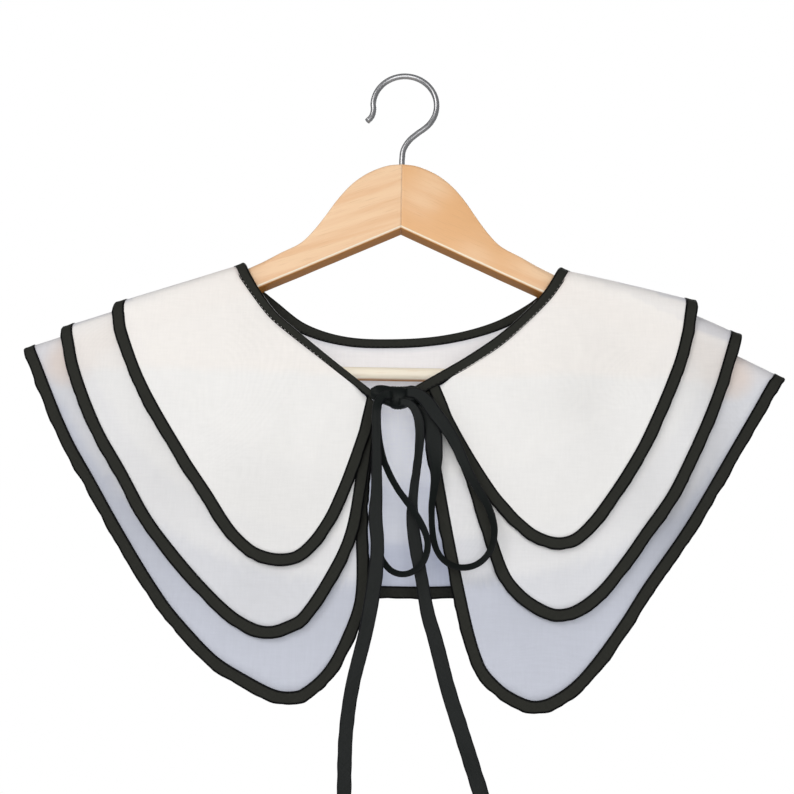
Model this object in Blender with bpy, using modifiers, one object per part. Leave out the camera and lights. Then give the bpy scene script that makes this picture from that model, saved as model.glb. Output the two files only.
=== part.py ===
"""Three-tier cape collar in organza, tied in a bow and hung on a wooden hanger."""
import bmesh
import bpy
from math import atan2, cos, degrees, exp, pi, radians, sin
from mathutils import Matrix, Vector

MM = 0.001

# Sizes in millimetres. X is to the viewer's right, Z up, the front of the collar faces -Y.
CLOTH_WALL = 1.0
BINDING_WIDTH = 8.0
BINDING_THICK = 1.4
SEAM_GAP = 0.3
NECK_BINDING_THICK = 4.9
TIE_THICK = 1.4

# The neck binding's middle lies this far in front of and behind the hanger's middle.
NECK_HALF_GAP = 11.0
# Where each tier lies beside that middle: at the neck edge, and further out once well away from it.
# Columns: tier, at_neck, away
LAYERS = (("tier_1", 1.8, 6.2), ("tier_2", 0.0, 2.7), ("tier_3", -1.8, -0.8))
SPREAD_LENGTH = 45.0

# Centre line of the neck binding in front, from its side of the shoulder to the bow.
# Columns: left_x, left_z, left_width, right_x, right_z, right_width
NECK_FRONT = (
    (-104.0, -150.0, 8.4, 103.5, -149.0, 8.4),
    (-97.0, -160.5, 7.2, 96.5, -159.5, 7.8),
    (-84.5, -176.5, 6.8, 83.5, -174.0, 7.6),
    (-69.7, -189.1, 6.4, 65.9, -190.4, 8.0),
    (-49.6, -205.0, 5.6, 45.9, -205.0, 8.2),
    (-33.6, -217.5, 5.4, 27.9, -216.0, 7.8),
    (-20.4, -227.7, 5.4, 13.3, -224.5, 7.2),
    (-17.4, -230.1, 5.4, 9.8, -226.5, 7.0),
)
# Centre line of the neck binding behind, from shoulder to shoulder.
# Columns: x, z, width
NECK_BACK = (
    (-104.0, -150.0, 8.4),
    (-88.0, -162.9, 8.4),
    (-66.0, -179.1, 8.0),
    (-38.0, -187.5, 7.2),
    (-4.0, -188.6, 7.0),
    (30.0, -185.1, 6.9),
    (62.0, -176.1, 7.2),
    (87.0, -162.5, 7.6),
    (103.5, -149.0, 8.4),
)
# Top of the neck binding's centre line where it goes over the hanger. Columns: x, z, width
NECK_TOP_LEFT = (-108.6, -140.4, 8.8)
NECK_TOP_RIGHT = (108.5, -139.8, 8.8)
# Direction in which the shoulders fall away from the neck: out, down.
SHOULDER_FALL = (0.92, -0.39)

# Shoulder folds: the tip where each tier turns over the hanger, and how far its line bows up.
# Columns: tier, left_x, left_z, left_bow, right_x, right_z, right_bow
SHOULDER = (
    ("tier_1", -188.5, -167.8, 0.0, 195.0, -159.3, 0.5),
    ("tier_2", -222.5, -185.0, -1.6, 224.5, -182.0, 3.6),
    ("tier_3", -248.0, -200.3, -2.4, 252.5, -211.6, 0.4),
)
# How far from the bow the tiers' neck edges begin.
CORNER_LEFT = 20.9
CORNER_RIGHT = 28.1

# Outer edge of each tier in front, from the shoulder tip round the hem to the bow.
# Columns: left_x, left_z, right_x, right_z
FRONT_EDGE = {
    "tier_1": (
        (-188.5, -178.0, 193.0, -170.5),
        (-185.5, -192.5, 190.0, -187.0),
        (-169.5, -229.5, 183.0, -210.0),
        (-140.5, -276.0, 161.5, -258.5),
        (-124.5, -298.5, 150.0, -278.5),
        (-108.5, -321.5, 136.5, -298.5),
        (-95.0, -334.0, 124.5, -314.0),
        (-84.0, -339.0, 112.5, -324.5),
        (-72.0, -340.5, 99.5, -327.5),
        (-60.5, -338.0, 84.0, -323.0),
        (-49.5, -328.5, 71.0, -313.0),
        (-39.0, -312.5, 63.8, -305.2),
        (-31.0, -294.0, 55.6, -295.4),
        (-25.5, -278.5, 40.2, -271.4),
        (-18.5, -256.0, 26.6, -246.6),
        (-16.4, -246.0, 22.6, -236.3),
        (-14.6, -237.1, 18.9, -227.4),
    ),
    "tier_2": (
        (-221.5, -194.0, 221.0, -191.5),
        (-215.0, -217.5, 211.0, -221.5),
        (-197.5, -257.0, 201.5, -244.5),
        (-180.0, -285.0, 189.0, -271.0),
        (-162.5, -313.5, 176.5, -294.5),
        (-147.0, -333.0, 159.5, -318.0),
        (-126.0, -356.0, 145.0, -338.0),
        (-106.0, -374.0, 129.5, -356.5),
        (-91.0, -382.5, 113.0, -368.5),
        (-79.0, -385.0, 99.5, -371.5),
        (-68.0, -382.5, 87.5, -368.0),
        (-54.0, -374.2, 74.0, -359.0),
        (-33.2, -340.2, 63.0, -345.5),
        (-24.4, -316.4, 52.0, -315.0),
        (-19.0, -278.5, 37.5, -271.0),
        (-14.6, -237.1, 15.5, -229.4),
    ),
    "tier_3": (
        (-244.0, -208.0, 246.0, -219.0),
        (-217.5, -262.5, 227.0, -250.0),
        (-199.0, -292.5, 214.0, -271.5),
        (-181.0, -321.0, 189.0, -312.3),
        (-150.0, -366.0, 159.5, -353.0),
        (-131.0, -387.0, 146.5, -373.0),
        (-113.5, -403.0, 131.0, -394.5),
        (-92.5, -415.0, 114.5, -413.0),
        (-76.0, -422.5, 98.0, -424.0),
        (-65.0, -424.0, 85.0, -427.0),
        (-54.0, -421.5, 72.5, -423.5),
        (-38.5, -408.0, 59.0, -415.0),
        (-27.5, -388.5, 47.0, -400.0),
        (-18.0, -358.5, 35.0, -357.0),
        (-19.0, -300.0, 18.0, -270.0),
        (-14.6, -237.1, 13.4, -230.6),
    ),
}
# Lowest line of each tier's hem behind.
BACK_HEM = (("tier_1", -290.0), ("tier_2", -330.0), ("tier_3", -357.5))
# Shape of every hem behind, from a shoulder tip to the middle.
# Columns: share of the half width, share of the drop
BACK_SHAPE = (
    (1.0, 0.0), (0.95, 0.15), (0.885, 0.32), (0.80, 0.52), (0.70, 0.685),
    (0.57, 0.82), (0.40, 0.925), (0.20, 0.985), (0.0, 1.0),
)

# Broad soft folds that run out from the neck and push every tier outward together.
# Columns: side, angle_from_down, half_angle, height
SOFT_FOLDS = (
    ("front", -66.0, 8.0, 1.8),
    ("front", -40.0, 8.0, 2.4),
    ("front", 38.0, 8.0, 2.2),
    ("front", 62.0, 8.0, 2.0),
    ("back", -58.0, 10.0, 2.2),
    ("back", -30.0, 9.0, 2.0),
    ("back", 8.0, 10.0, 1.6),
    ("back", 34.0, 9.0, 2.4),
    ("back", 64.0, 9.0, 1.8),
)
FOLD_CENTRE_Z = -140.0

# How finely the cloth is divided.
FRONT_STATIONS = 30
BACK_STATIONS = 24
ROWS_DOWN = 4
TURN_ANGLES = (-60, -30, 0, 30, 60)

# Ties: routes of the black tape, which is folded double in the loops and near the knot.
# Columns: x, y, z, turn about its own length in degrees, width
LOOP_LEFT = (
    (-5.4, -21.0, -230.9, 0, 5.4),
    (-10.4, -21.4, -232.0, 4, 5.4),
    (-13.6, -22.2, -236.6, 10, 5.4),
    (-14.6, -23.4, -243.6, 16, 5.2),
    (-13.6, -24.2, -256.0, 26, 5.0),
    (-11.4, -24.8, -268.0, 32, 4.8),
    (-8.2, -25.2, -277.8, 34, 4.6),
    (-0.7, -25.8, -292.0, 34, 4.6),
    (9.0, -26.2, -305.0, 34, 4.6),
    (16.2, -26.4, -317.6, 34, 4.6),
    (18.5, -26.2, -326.0, 34, 4.6),
    (16.4, -25.8, -336.0, 34, 4.6),
    (10.0, -25.0, -342.8, 34, 4.6),
    (2.6, -24.0, -344.7, 34, 4.6),
    (-5.0, -22.8, -341.5, 34, 4.6),
    (-11.6, -21.2, -331.0, 30, 4.6),
    (-14.6, -19.4, -312.0, 24, 4.6),
    (-15.2, -18.2, -285.0, 20, 4.6),
    (-15.4, -17.0, -262.0, 14, 4.6),
    (-15.2, -16.2, -247.0, 8, 4.6),
    (-13.8, -15.8, -237.2, 4, 4.6),
)
LOOP_RIGHT = (
    (3.6, -21.2, -229.4, 0, 5.6),
    (9.6, -21.8, -229.6, 4, 7.0),
    (15.6, -22.6, -233.8, 6, 8.6),
    (22.4, -23.4, -243.0, 8, 8.8),
    (29.4, -23.8, -252.4, 10, 8.2),
    (35.2, -24.0, -262.2, 12, 7.4),
    (42.0, -24.2, -277.3, 16, 6.4),
    (49.4, -24.2, -290.9, 20, 5.4),
    (55.1, -24.2, -300.4, 26, 5.0),
    (58.6, -24.0, -309.2, 30, 4.8),
    (59.8, -23.8, -318.0, 34, 4.6),
    (57.6, -23.4, -328.4, 34, 4.6),
    (50.6, -22.8, -336.8, 34, 4.6),
    (41.0, -22.2, -339.8, 34, 4.6),
    (31.4, -21.4, -337.4, 34, 4.6),
    (24.6, -20.4, -330.0, 36, 4.6),
    (21.6, -19.6, -317.9, 36, 4.6),
    (21.0, -19.0, -301.0, 34, 4.6),
    (23.2, -18.6, -282.0, 18, 6.6),
    (22.4, -17.8, -264.0, -6, 10.4),
    (20.4, -17.2, -250.0, -14, 10.8),
    (17.2, -16.6, -241.0, -14, 10.8),
    (13.0, -14.9, -236.0, -10, 9.6),
    (11.0, -13.5, -233.6, -6, 8.2),
)
TAIL_LEFT = (
    (-5.4, -22.9, -230.9, 0, 5.4),
    (-10.4, -23.5, -232.0, 2, 5.6),
    (-13.8, -25.2, -236.8, 4, 5.8),
    (-14.8, -27.6, -244.0, 6, 6.0),
    (-14.4, -29.2, -256.0, 8, 6.0),
    (-13.9, -30.4, -274.0, 10, 6.2),
    (-13.6, -30.8, -296.0, 6, 7.4),
    (-14.0, -30.6, -309.7, 4, 8.6),
    (-12.4, -29.8, -328.0, 4, 8.4),
    (-13.3, -29.0, -345.5, 2, 9.2),
    (-15.0, -28.0, -359.4, 2, 9.2),
    (-18.4, -27.0, -379.7, 0, 8.8),
    (-25.8, -25.6, -412.5, -4, 8.6),
    (-29.0, -24.4, -440.0, -2, 8.6),
    (-29.2, -23.8, -472.0, 0, 8.6),
    (-28.6, -23.4, -491.0, 0, 8.6),
)
TAIL_RIGHT = (
    (-0.6, -20.9, -235.4, 0, 4.8),
    (4.4, -21.0, -235.8, 2, 4.8),
    (9.0, -20.6, -239.4, 4, 5.4),
    (12.2, -19.6, -246.8, 6, 6.2),
    (13.0, -18.0, -256.0, 8, 6.2),
    (12.0, -15.6, -271.0, 12, 5.6),
    (9.3, -13.4, -294.9, 12, 6.2),
    (9.1, -13.0, -309.3, 10, 7.8),
    (11.5, -13.0, -327.2, 6, 8.4),
    (15.2, -13.2, -346.0, 2, 8.0),
    (19.4, -13.4, -368.0, 0, 8.8),
    (24.0, -13.8, -383.0, 0, 9.2),
    (32.2, -14.4, -413.0, 0, 9.4),
    (41.8, -15.0, -442.0, 4, 9.6),
    (50.4, -15.4, -468.0, 2, 9.6),
    (58.0, -15.6, -490.5, 0, 9.6),
)
TIE_STEP = 6.0

# Bow knot: rings along X. Columns: x, y, z, half_depth, half_height
KNOT = (
    (-18.9, -16.6, -229.0, 2.0, 3.0),
    (-15.5, -17.0, -229.4, 2.9, 5.0),
    (-10.6, -15.6, -229.9, 4.4, 5.9),
    (-6.0, -15.0, -231.1, 4.9, 6.7),
    (-1.0, -15.0, -231.6, 5.1, 6.8),
    (4.0, -15.2, -231.0, 4.8, 6.7),
    (7.2, -17.0, -229.8, 2.8, 6.0),
    (10.8, -17.0, -229.6, 2.2, 5.2),
    (13.0, -17.2, -230.4, 1.5, 3.4),
)

# Hanger wood: top and bottom along one arm, mirrored for the other.
# Columns: x, top_z, bottom_z, half_thick, top_edge
ARM = (
    (0.15, -66.2, -112.9, 7.5, 2.5),
    (8.7, -67.2, -117.0, 7.5, 2.5),
    (17.3, -70.2, -121.0, 7.5, 2.5),
    (25.9, -74.9, -125.0, 7.5, 2.5),
    (34.5, -82.1, -129.0, 7.5, 2.5),
    (43.0, -92.4, -133.0, 7.5, 2.5),
    (51.5, -105.2, -136.9, 7.5, 2.5),
    (59.0, -115.6, -140.4, 7.5, 2.5),
    (67.0, -124.0, -144.2, 7.5, 2.5),
    (80.0, -131.2, -150.1, 7.5, 2.5),
    (94.0, -138.0, -156.6, 7.5, 6.0),
    (130.0, -155.4, -173.2, 7.5, 6.0),
    (198.0, -188.4, -204.6, 7.5, 6.0),
    (201.0, -189.9, -220.0, 7.5, 6.0),
    (206.0, -192.3, -221.6, 7.5, 6.0),
    (217.0, -198.6, -221.6, 7.5, 6.0),
    (222.5, -204.0, -219.0, 6.4, 6.0),
    (225.0, -209.6, -214.4, 4.2, 6.0),
)
ARM_BOTTOM_EDGE = 2.4
BAR_RADIUS = 4.5
BAR_Z = -212.3
BAR_END_X = 213.0
BAR_CLEARANCE = 0.3
# Middle of the hanger: the hook bends a little to one side of it.
HANGER_MIDDLE_X = -1.3

# Hook: round wire whose inner top is the origin.
HOOK_INNER_RADIUS = 20.0
HOOK_WIRE_RADIUS = 2.0
HOOK_STEM_FOOT_Z = -65.9

NAME = "layered_collar_on_hanger"

for stale in list(bpy.data.objects):
    bpy.data.objects.remove(stale, do_unlink=True)

parts = bpy.data.collections.new(NAME)
cutters = bpy.data.collections.new(NAME + "_cutters")
bpy.context.scene.collection.children.link(parts)
bpy.context.scene.collection.children.link(cutters)


def material(name, colour, roughness, metallic=0.0):
    made = bpy.data.materials.new(name)
    made.use_nodes = True
    shader = made.node_tree.nodes["Principled BSDF"]
    shader.inputs["Base Color"].default_value = (*colour, 1.0)
    shader.inputs["Roughness"].default_value = roughness
    shader.inputs["Metallic"].default_value = metallic
    made.diffuse_color = (*colour, 1.0)
    return made


ORGANZA = {
    "tier_1": material("organza_warm_white", (0.88, 0.86, 0.82), 0.55),
    "tier_2": material("organza_white", (0.78, 0.77, 0.79), 0.55),
    "tier_3": material("organza_cool_white", (0.58, 0.60, 0.66), 0.55),
}
BLACK_TAPE = material("black_bias_tape", (0.012, 0.013, 0.012), 0.5)
BLACK_TIE = material("black_tie_tape", (0.010, 0.013, 0.014), 0.45)
WOOD = material("pale_hanger_wood", (0.85, 0.58, 0.34), 0.5)
STEEL = material("hook_steel", (0.42, 0.42, 0.43), 0.3, 1.0)


def new_object(name, verts, faces, surface):
    mesh = bpy.data.meshes.new(name)
    mesh.from_pydata([Vector(v) * MM for v in verts], [], faces)
    mesh.materials.append(surface)
    mesh.polygons.foreach_set("use_smooth", [True] * len(mesh.polygons))
    made = bpy.data.objects.new(name, mesh)
    parts.objects.link(made)
    return made


# Curves through table rows
def smooth_line(rows, steps=12):
    """A smooth line through the rows, with any number of columns."""
    points = [Vector(row) for row in rows]
    line = []
    for i in range(len(points) - 1):
        p0 = points[max(i - 1, 0)]
        p1, p2 = points[i], points[i + 1]
        p3 = points[min(i + 2, len(points) - 1)]
        reach = (p2 - p1).length
        before = (p2 - p0) * (reach / max((p2 - p0).length, 1e-6))
        after = (p3 - p1) * (reach / max((p3 - p1).length, 1e-6))
        for k in range(steps):
            t = k / steps
            line.append(
                p1 * (2 * t**3 - 3 * t**2 + 1)
                + before * (t**3 - 2 * t**2 + t)
                + p2 * (3 * t**2 - 2 * t**3)
                + after * (t**3 - t**2)
            )
    line.append(points[-1])
    return line


def spaced(line, count, turn_size=0.0):
    """Points along the line, closer where it turns sharply in its first two columns."""
    travelled = [0.0]
    for i in range(1, len(line)):
        step = (line[i] - line[i - 1]).length
        if turn_size and i + 1 < len(line):
            a = line[i].xy - line[i - 1].xy if len(line[i]) > 2 else line[i] - line[i - 1]
            b = line[i + 1].xy - line[i].xy if len(line[i]) > 2 else line[i + 1] - line[i]
            if a.length > 1e-6 and b.length > 1e-6:
                step += turn_size * abs(a.angle(b))
        travelled.append(travelled[-1] + step)
    found, k = [], 0
    for i in range(count):
        want = travelled[-1] * i / (count - 1)
        while k < len(line) - 2 and travelled[k + 1] < want:
            k += 1
        part = (want - travelled[k]) / max(travelled[k + 1] - travelled[k], 1e-9)
        found.append(line[k].lerp(line[k + 1], min(max(part, 0.0), 1.0)))
    return found


# Neck binding's centre line, and one shared list of stations for every tier: each has an angle that
# is -90 in front, +90 behind, and in between while the cloth turns over the hanger.
neck_left = spaced(smooth_line([row[0:3] for row in NECK_FRONT][::-1]), FRONT_STATIONS)
neck_right = spaced(smooth_line([row[3:6] for row in NECK_FRONT]), FRONT_STATIONS)
neck_back = spaced(smooth_line(NECK_BACK), BACK_STATIONS)


def turn_over(side_point, top_point, angle):
    """A point of an edge where it turns over the hanger."""
    up = cos(radians(angle))
    return side_point.lerp(top_point, up)


def with_turns(left, back, right, top_left, top_right):
    """Joins front, back and front into one run of (point, angle) with the turns between."""
    run = [(p, -90.0) for p in left]
    run += [(turn_over(left[-1], top_left, a), a) for a in TURN_ANGLES]
    run += [(p, 90.0) for p in back]
    run += [(turn_over(right[0], top_right, a), a) for a in TURN_ANGLES[::-1]]
    run += [(p, -90.0) for p in right]
    return run


NECK_RUN = with_turns(
    neck_left,
    neck_back,
    neck_right,
    Vector(NECK_TOP_LEFT),
    Vector(NECK_TOP_RIGHT),
)
neck_front_line = [p.xy for p in neck_left] + [p.xy for p in neck_right]
neck_back_line = [p.xy for p in neck_back]


def trimmed(line, off_start, off_end):
    """The line without its first and last stretch."""
    travelled = [0.0]
    for i in range(1, len(line)):
        travelled.append(travelled[-1] + (line[i] - line[i - 1]).length)
    return [p for p, d in zip(line, travelled) if off_start <= d <= travelled[-1] - off_end]


# The tiers' own neck edges stop short of the bow, where the front bindings begin.
TIER_NECK_RUN = with_turns(
    spaced(trimmed(smooth_line([row[0:3] for row in NECK_FRONT][::-1]), CORNER_LEFT, 0.0), FRONT_STATIONS),
    neck_back,
    spaced(trimmed(smooth_line([row[3:6] for row in NECK_FRONT]), 0.0, CORNER_RIGHT), FRONT_STATIONS),
    Vector(NECK_TOP_LEFT),
    Vector(NECK_TOP_RIGHT),
)


def outward(run, i):
    """Unit direction in the sheet from the neck line out into the cloth at station i."""
    point, angle = run[i]
    if abs(angle) < 89:
        fall = Vector((SHOULDER_FALL[0] if point.x > 0 else -SHOULDER_FALL[0], SHOULDER_FALL[1]))
        side = i
        while abs(run[side][1]) < 89:
            side += 1 if (angle > 0) == (point.x < 0) else -1
        return outward(run, side).lerp(fall, cos(radians(angle))).normalized()
    before, after = run[max(i - 1, 0)][0].xy, run[min(i + 1, len(run) - 1)][0].xy
    along = (after - before).normalized()
    across = Vector((along.y, -along.x))
    return across if across.y < 0 else -across


def neck_distance(point, angle):
    line = neck_back_line if angle > 0 else neck_front_line
    return min((point - q).length for q in line)


def table_row(table, tier):
    return next(row[1:] for row in table if row[0] == tier)


def half_gap(tier, distance):
    near, away = table_row(LAYERS, tier)
    return NECK_HALF_GAP + near + (away - near) * (1.0 - exp(-distance / SPREAD_LENGTH))


def soft_fold(point, angle, distance):
    side = "back" if angle > 0 else "front"
    lean = degrees(atan2(point.x, FOLD_CENTRE_Z - point.y))
    push = sum(
        height * exp(-(((lean - middle) / half) ** 2))
        for face, middle, half, height in SOFT_FOLDS
        if face == side
    )
    return push * (1.0 - exp(-distance / 60.0)) * abs(sin(radians(angle))) ** 3


def in_space(tier, point, angle):
    """Places a point (x, z) of a tier at its depth, front or behind."""
    distance = neck_distance(point, angle)
    depth = half_gap(tier, distance) + soft_fold(point, angle, distance)
    return Vector((point.x, depth * sin(radians(angle)), point.y))


def back_edge(tier, left_side, right_side):
    """Rounded hem behind, from the left shoulder tip to the right one."""
    hem_z = table_row(BACK_HEM, tier)[0]
    shape = [(side, reach, drop) for side in (left_side, right_side) for reach, drop in BACK_SHAPE]
    rows = [Vector((side.x * reach, side.y + (hem_z - side.y) * drop)) for side, reach, drop in shape]
    half = len(BACK_SHAPE)
    return spaced(smooth_line(rows[:half] + rows[half:-1][::-1]), BACK_STATIONS, 25.0)


def tier_edge(tier):
    """Outer edge of a tier as a run of (point, angle)."""
    rows = FRONT_EDGE[tier]
    left = spaced(smooth_line([row[0:2] for row in rows][::-1]), FRONT_STATIONS, 30.0)
    right = spaced(smooth_line([row[2:4] for row in rows]), FRONT_STATIONS, 30.0)
    shoulder = table_row(SHOULDER, tier)
    back = back_edge(tier, left[-1], right[0])
    return with_turns(left, back, right, Vector(shoulder[0:2]), Vector(shoulder[3:5]))


def inward(run, i, tier):
    """Step in the sheet from the outer edge to the binding's inner edge, per millimetre of width."""
    point, angle = run[i]
    if abs(angle) < 89:
        shoulder = table_row(SHOULDER, tier)
        tip = Vector(shoulder[0:2]) if point.x < 0 else Vector(shoulder[3:5])
        neck = Vector(NECK_TOP_LEFT).xy if point.x < 0 else Vector(NECK_TOP_RIGHT).xy
        return (neck - tip).normalized()
    if i in (0, len(run) - 1):
        edge = run[1][0] - run[0][0] if i == 0 else run[-2][0] - run[-1][0]
        neck = NECK_RUN[3][0].xy - NECK_RUN[0][0].xy if i == 0 else NECK_RUN[-4][0].xy - NECK_RUN[-1][0].xy
        neck.normalize()
        edge.normalize()
        return neck / abs(neck.x * edge.y - neck.y * edge.x)
    before, after = run[i - 1][0], run[i + 1][0]
    along = (after - before).normalized()
    return Vector((along.y, -along.x)) if angle < 0 else Vector((-along.y, along.x))


def edge_point(tier, run, i, distance):
    """The edge's point at station i, moved in by a distance and placed at its depth."""
    point, angle = run[i]
    return in_space(tier, point + inward(run, i, tier) * distance, angle)


def tier_neck_point(tier, i):
    """Where the tier's cloth begins at station i, just beyond the neck binding."""
    point, angle = TIER_NECK_RUN[i]
    out = outward(TIER_NECK_RUN, i)
    up = Vector((-out.y, out.x)) if out.x > 0 else Vector((out.y, -out.x))
    lift = table_row(LAYERS, tier)[0] * cos(radians(angle))
    return point.xy + out * (point[2] / 2 + SEAM_GAP) + up * lift


def build_panel(tier):
    """One tier: a single sheet from front edge over both shoulders and round the back."""
    run = tier_edge(tier)
    shoulder = table_row(SHOULDER, tier)
    verts, faces = [], []
    for i, (point, angle) in enumerate(run):
        start = tier_neck_point(tier, i)
        end = point + inward(run, i, tier) * (BINDING_WIDTH + SEAM_GAP)
        bow = shoulder[2] if point.x < 0 else shoulder[5]
        for row in range(ROWS_DOWN + 1):
            v = row / ROWS_DOWN
            here = start.lerp(end, v)
            here.y += bow * 4 * v * (1 - v) * cos(radians(angle)) ** 2
            verts.append(in_space(tier, here, angle))
    down = ROWS_DOWN + 1
    for i in range(len(run) - 1):
        for row in range(ROWS_DOWN):
            a = i * down + row
            faces.append((a, a + 1, a + down + 1, a + down))
    made = new_object(tier + "_panel", verts, faces, ORGANZA[tier])
    wall = made.modifiers.new("wall", "SOLIDIFY")
    wall.thickness = CLOTH_WALL * MM
    wall.offset = 0.0
    return made


def loft(name, rings, surface):
    """Closed body through rings of equal count, with a flat face on each end."""
    count = len(rings[0])
    verts = [point for ring in rings for point in ring]
    faces = [tuple(range(count))[::-1]]
    for i in range(len(rings) - 1):
        for k in range(count):
            a, b = i * count + k, i * count + (k + 1) % count
            faces.append((a, b, b + count, a + count))
    faces.append(tuple(range(len(verts) - count, len(verts))))
    made = new_object(name, verts, faces, surface)
    shape = bmesh.new()
    shape.from_mesh(made.data)
    bmesh.ops.recalc_face_normals(shape, faces=shape.faces)
    shape.to_mesh(made.data)
    shape.free()
    return made


def build_binding(tier):
    """Bias strip that covers the tier's free edge, rounded along its outer side."""
    run = tier_edge(tier)
    outer = [edge_point(tier, run, i, 0.0) for i in range(len(run))]
    inner = [edge_point(tier, run, i, BINDING_WIDTH) for i in range(len(run))]
    half = BINDING_THICK / 2
    rings = []
    for i in range(len(run)):
        across = inner[i] - outer[i]
        along = outer[min(i + 1, len(run) - 1)] - outer[max(i - 1, 0)]
        face = along.cross(across).normalized() * half
        shoulder = outer[i] + across.normalized() * 1.2
        rings.append([
            inner[i] + face, shoulder + face, outer[i] + face * 0.4,
            outer[i] - face * 0.4, shoulder - face, inner[i] - face,
        ])
    return loft(tier + "_binding", rings, BLACK_TAPE)


def build_neck_binding():
    """One strip along the neck over all three tiers, from the bow round to the bow."""
    centre, across = [], []
    for i, (point, angle) in enumerate(NECK_RUN):
        out = outward(NECK_RUN, i)
        depth = NECK_HALF_GAP * sin(radians(angle))
        centre.append(Vector((point.x, depth, point.y)))
        across.append(Vector((out.x, 0.0, out.y)) * (point[2] / 2))
    rings = []
    for i in range(len(centre)):
        along = centre[min(i + 1, len(centre) - 1)] - centre[max(i - 1, 0)]
        face = along.cross(across[i]).normalized() * (NECK_BINDING_THICK / 2)
        side = across[i]
        rings.append([
            centre[i] + side * 0.72 + face, centre[i] - side * 0.72 + face,
            centre[i] - side + face * 0.45, centre[i] - side - face * 0.45,
            centre[i] - side * 0.72 - face, centre[i] + side * 0.72 - face,
            centre[i] + side - face * 0.45, centre[i] + side + face * 0.45,
        ])
    return loft("neck_binding", rings, BLACK_TAPE)


def first_three(point):
    return Vector(point[0:3])


def build_tie(name, route):
    """Flat tape along its route, turned about its own length as the table says."""
    line = smooth_line(route, 10)
    length = sum((first_three(b) - first_three(a)).length for a, b in zip(line, line[1:]))
    line = spaced(line, round(length / TIE_STEP) + 1)
    middle = [first_three(point) for point in line]
    verts, faces = [], []
    for i, point in enumerate(line):
        before, after = middle[max(i - 1, 0)], middle[min(i + 1, len(line) - 1)]
        along = (after - before).normalized()
        across = along.cross(Vector((0, -1, 0))).normalized()
        across = Matrix.Rotation(radians(point[3]), 3, along) @ across
        verts += [middle[i] - across * point[4] / 2, middle[i] + across * point[4] / 2]
        if i:
            a = 2 * i
            faces.append((a - 2, a - 1, a + 1, a))
    made = new_object(name, verts, faces, BLACK_TIE)
    wall = made.modifiers.new("tape", "SOLIDIFY")
    wall.thickness = TIE_THICK * MM
    wall.offset = 0.0
    return made


def build_knot():
    rings = []
    for x, y, z, half_depth, half_height in KNOT:
        turns = [2 * pi * k / 12 for k in range(12)]
        rings.append([Vector((x, y + half_depth * cos(t), z + half_height * sin(t))) for t in turns])
    return loft("bow_knot", rings, BLACK_TIE)


def arm_section(x, top, bottom, half, top_edge):
    """Ring across the hanger's arm, with eased edges, rounder on top where the cloth hangs."""
    room = min((top - bottom) / 2, half) - 0.3
    upper, lower = min(top_edge, room), min(ARM_BOTTOM_EDGE, room)
    corners = (
        (half - upper, top - upper, upper, 0), (upper - half, top - upper, upper, 90),
        (lower - half, bottom + lower, lower, 180), (half - lower, bottom + lower, lower, 270),
    )
    ring = []
    for y, z, radius, start in corners:
        for step in (0, 45, 90):
            turn = radians(start + step)
            ring.append(Vector((x, y + radius * cos(turn), z + radius * sin(turn))))
    return ring


def rod(name, x_from, x_to, z, radius, surface, sides=20):
    turns = [2 * pi * k / sides for k in range(sides)]
    rings = [
        [Vector((x, radius * cos(t), z + radius * sin(t))) for t in turns]
        for x in (x_from, x_to)
    ]
    return loft(name, rings, surface)


def build_arm(name, side):
    """Half of the hanger, cut square at the middle, with a blind hole for the bar."""
    rings = [arm_section(HANGER_MIDDLE_X + side * row[0], *row[1:]) for row in ARM]
    arm = loft(name, rings, WOOD)
    hole = rod(
        name + "_hole", HANGER_MIDDLE_X + side * 180.0,
        HANGER_MIDDLE_X + side * (BAR_END_X + BAR_CLEARANCE), BAR_Z,
        BAR_RADIUS + BAR_CLEARANCE, WOOD,
    )
    parts.objects.unlink(hole)
    cutters.objects.link(hole)
    hole.hide_render = True
    hole.display_type = "WIRE"
    cut = arm.modifiers.new("bar_hole", "BOOLEAN")
    cut.operation = "DIFFERENCE"
    cut.solver = "EXACT"
    cut.object = hole
    return arm


def build_hook():
    """Round wire: up from the head, out to one side and over."""
    radius = HOOK_INNER_RADIUS + HOOK_WIRE_RADIUS
    centre_z = -HOOK_INNER_RADIUS
    stem = smooth_line((
        (HANGER_MIDDLE_X, HOOK_STEM_FOOT_Z), (HANGER_MIDDLE_X, -60.0), (-0.4, -53.0),
        (3.6, -46.0), (9.4, -40.6),
        (radius * cos(radians(-50)), centre_z + radius * sin(radians(-50))),
    ), 3)
    bow = [
        Vector((radius * cos(radians(a)), centre_z + radius * sin(radians(a))))
        for a in range(-38, 200, 12)
    ]
    tip = [bow[-1] + Vector((-1.2, -5.0)), bow[-1] + Vector((-4.2, -8.6))]
    points = stem + bow + tip
    curve = bpy.data.curves.new("hanger_hook", "CURVE")
    curve.dimensions = "3D"
    curve.bevel_depth = HOOK_WIRE_RADIUS * MM
    curve.bevel_resolution = 2
    curve.use_fill_caps = True
    wire = curve.splines.new("POLY")
    wire.points.add(len(points) - 1)
    for spot, point in zip(wire.points, points):
        spot.co = (point.x * MM, 0.0, point.y * MM, 1.0)
    curve.materials.append(STEEL)
    made = bpy.data.objects.new("hanger_hook", curve)
    parts.objects.link(made)
    return made


for tier_name in ("tier_1", "tier_2", "tier_3"):
    build_panel(tier_name)
    build_binding(tier_name)
build_neck_binding()
build_knot()
build_tie("bow_loop_left", LOOP_LEFT)
build_tie("bow_loop_right", LOOP_RIGHT)
build_tie("tie_tail_left", TAIL_LEFT)
build_tie("tie_tail_right", TAIL_RIGHT)
build_arm("hanger_arm_left", -1)
build_arm("hanger_arm_right", 1)
rod("hanger_bar", HANGER_MIDDLE_X - BAR_END_X, HANGER_MIDDLE_X + BAR_END_X, BAR_Z, BAR_RADIUS, WOOD)
build_hook()
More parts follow.
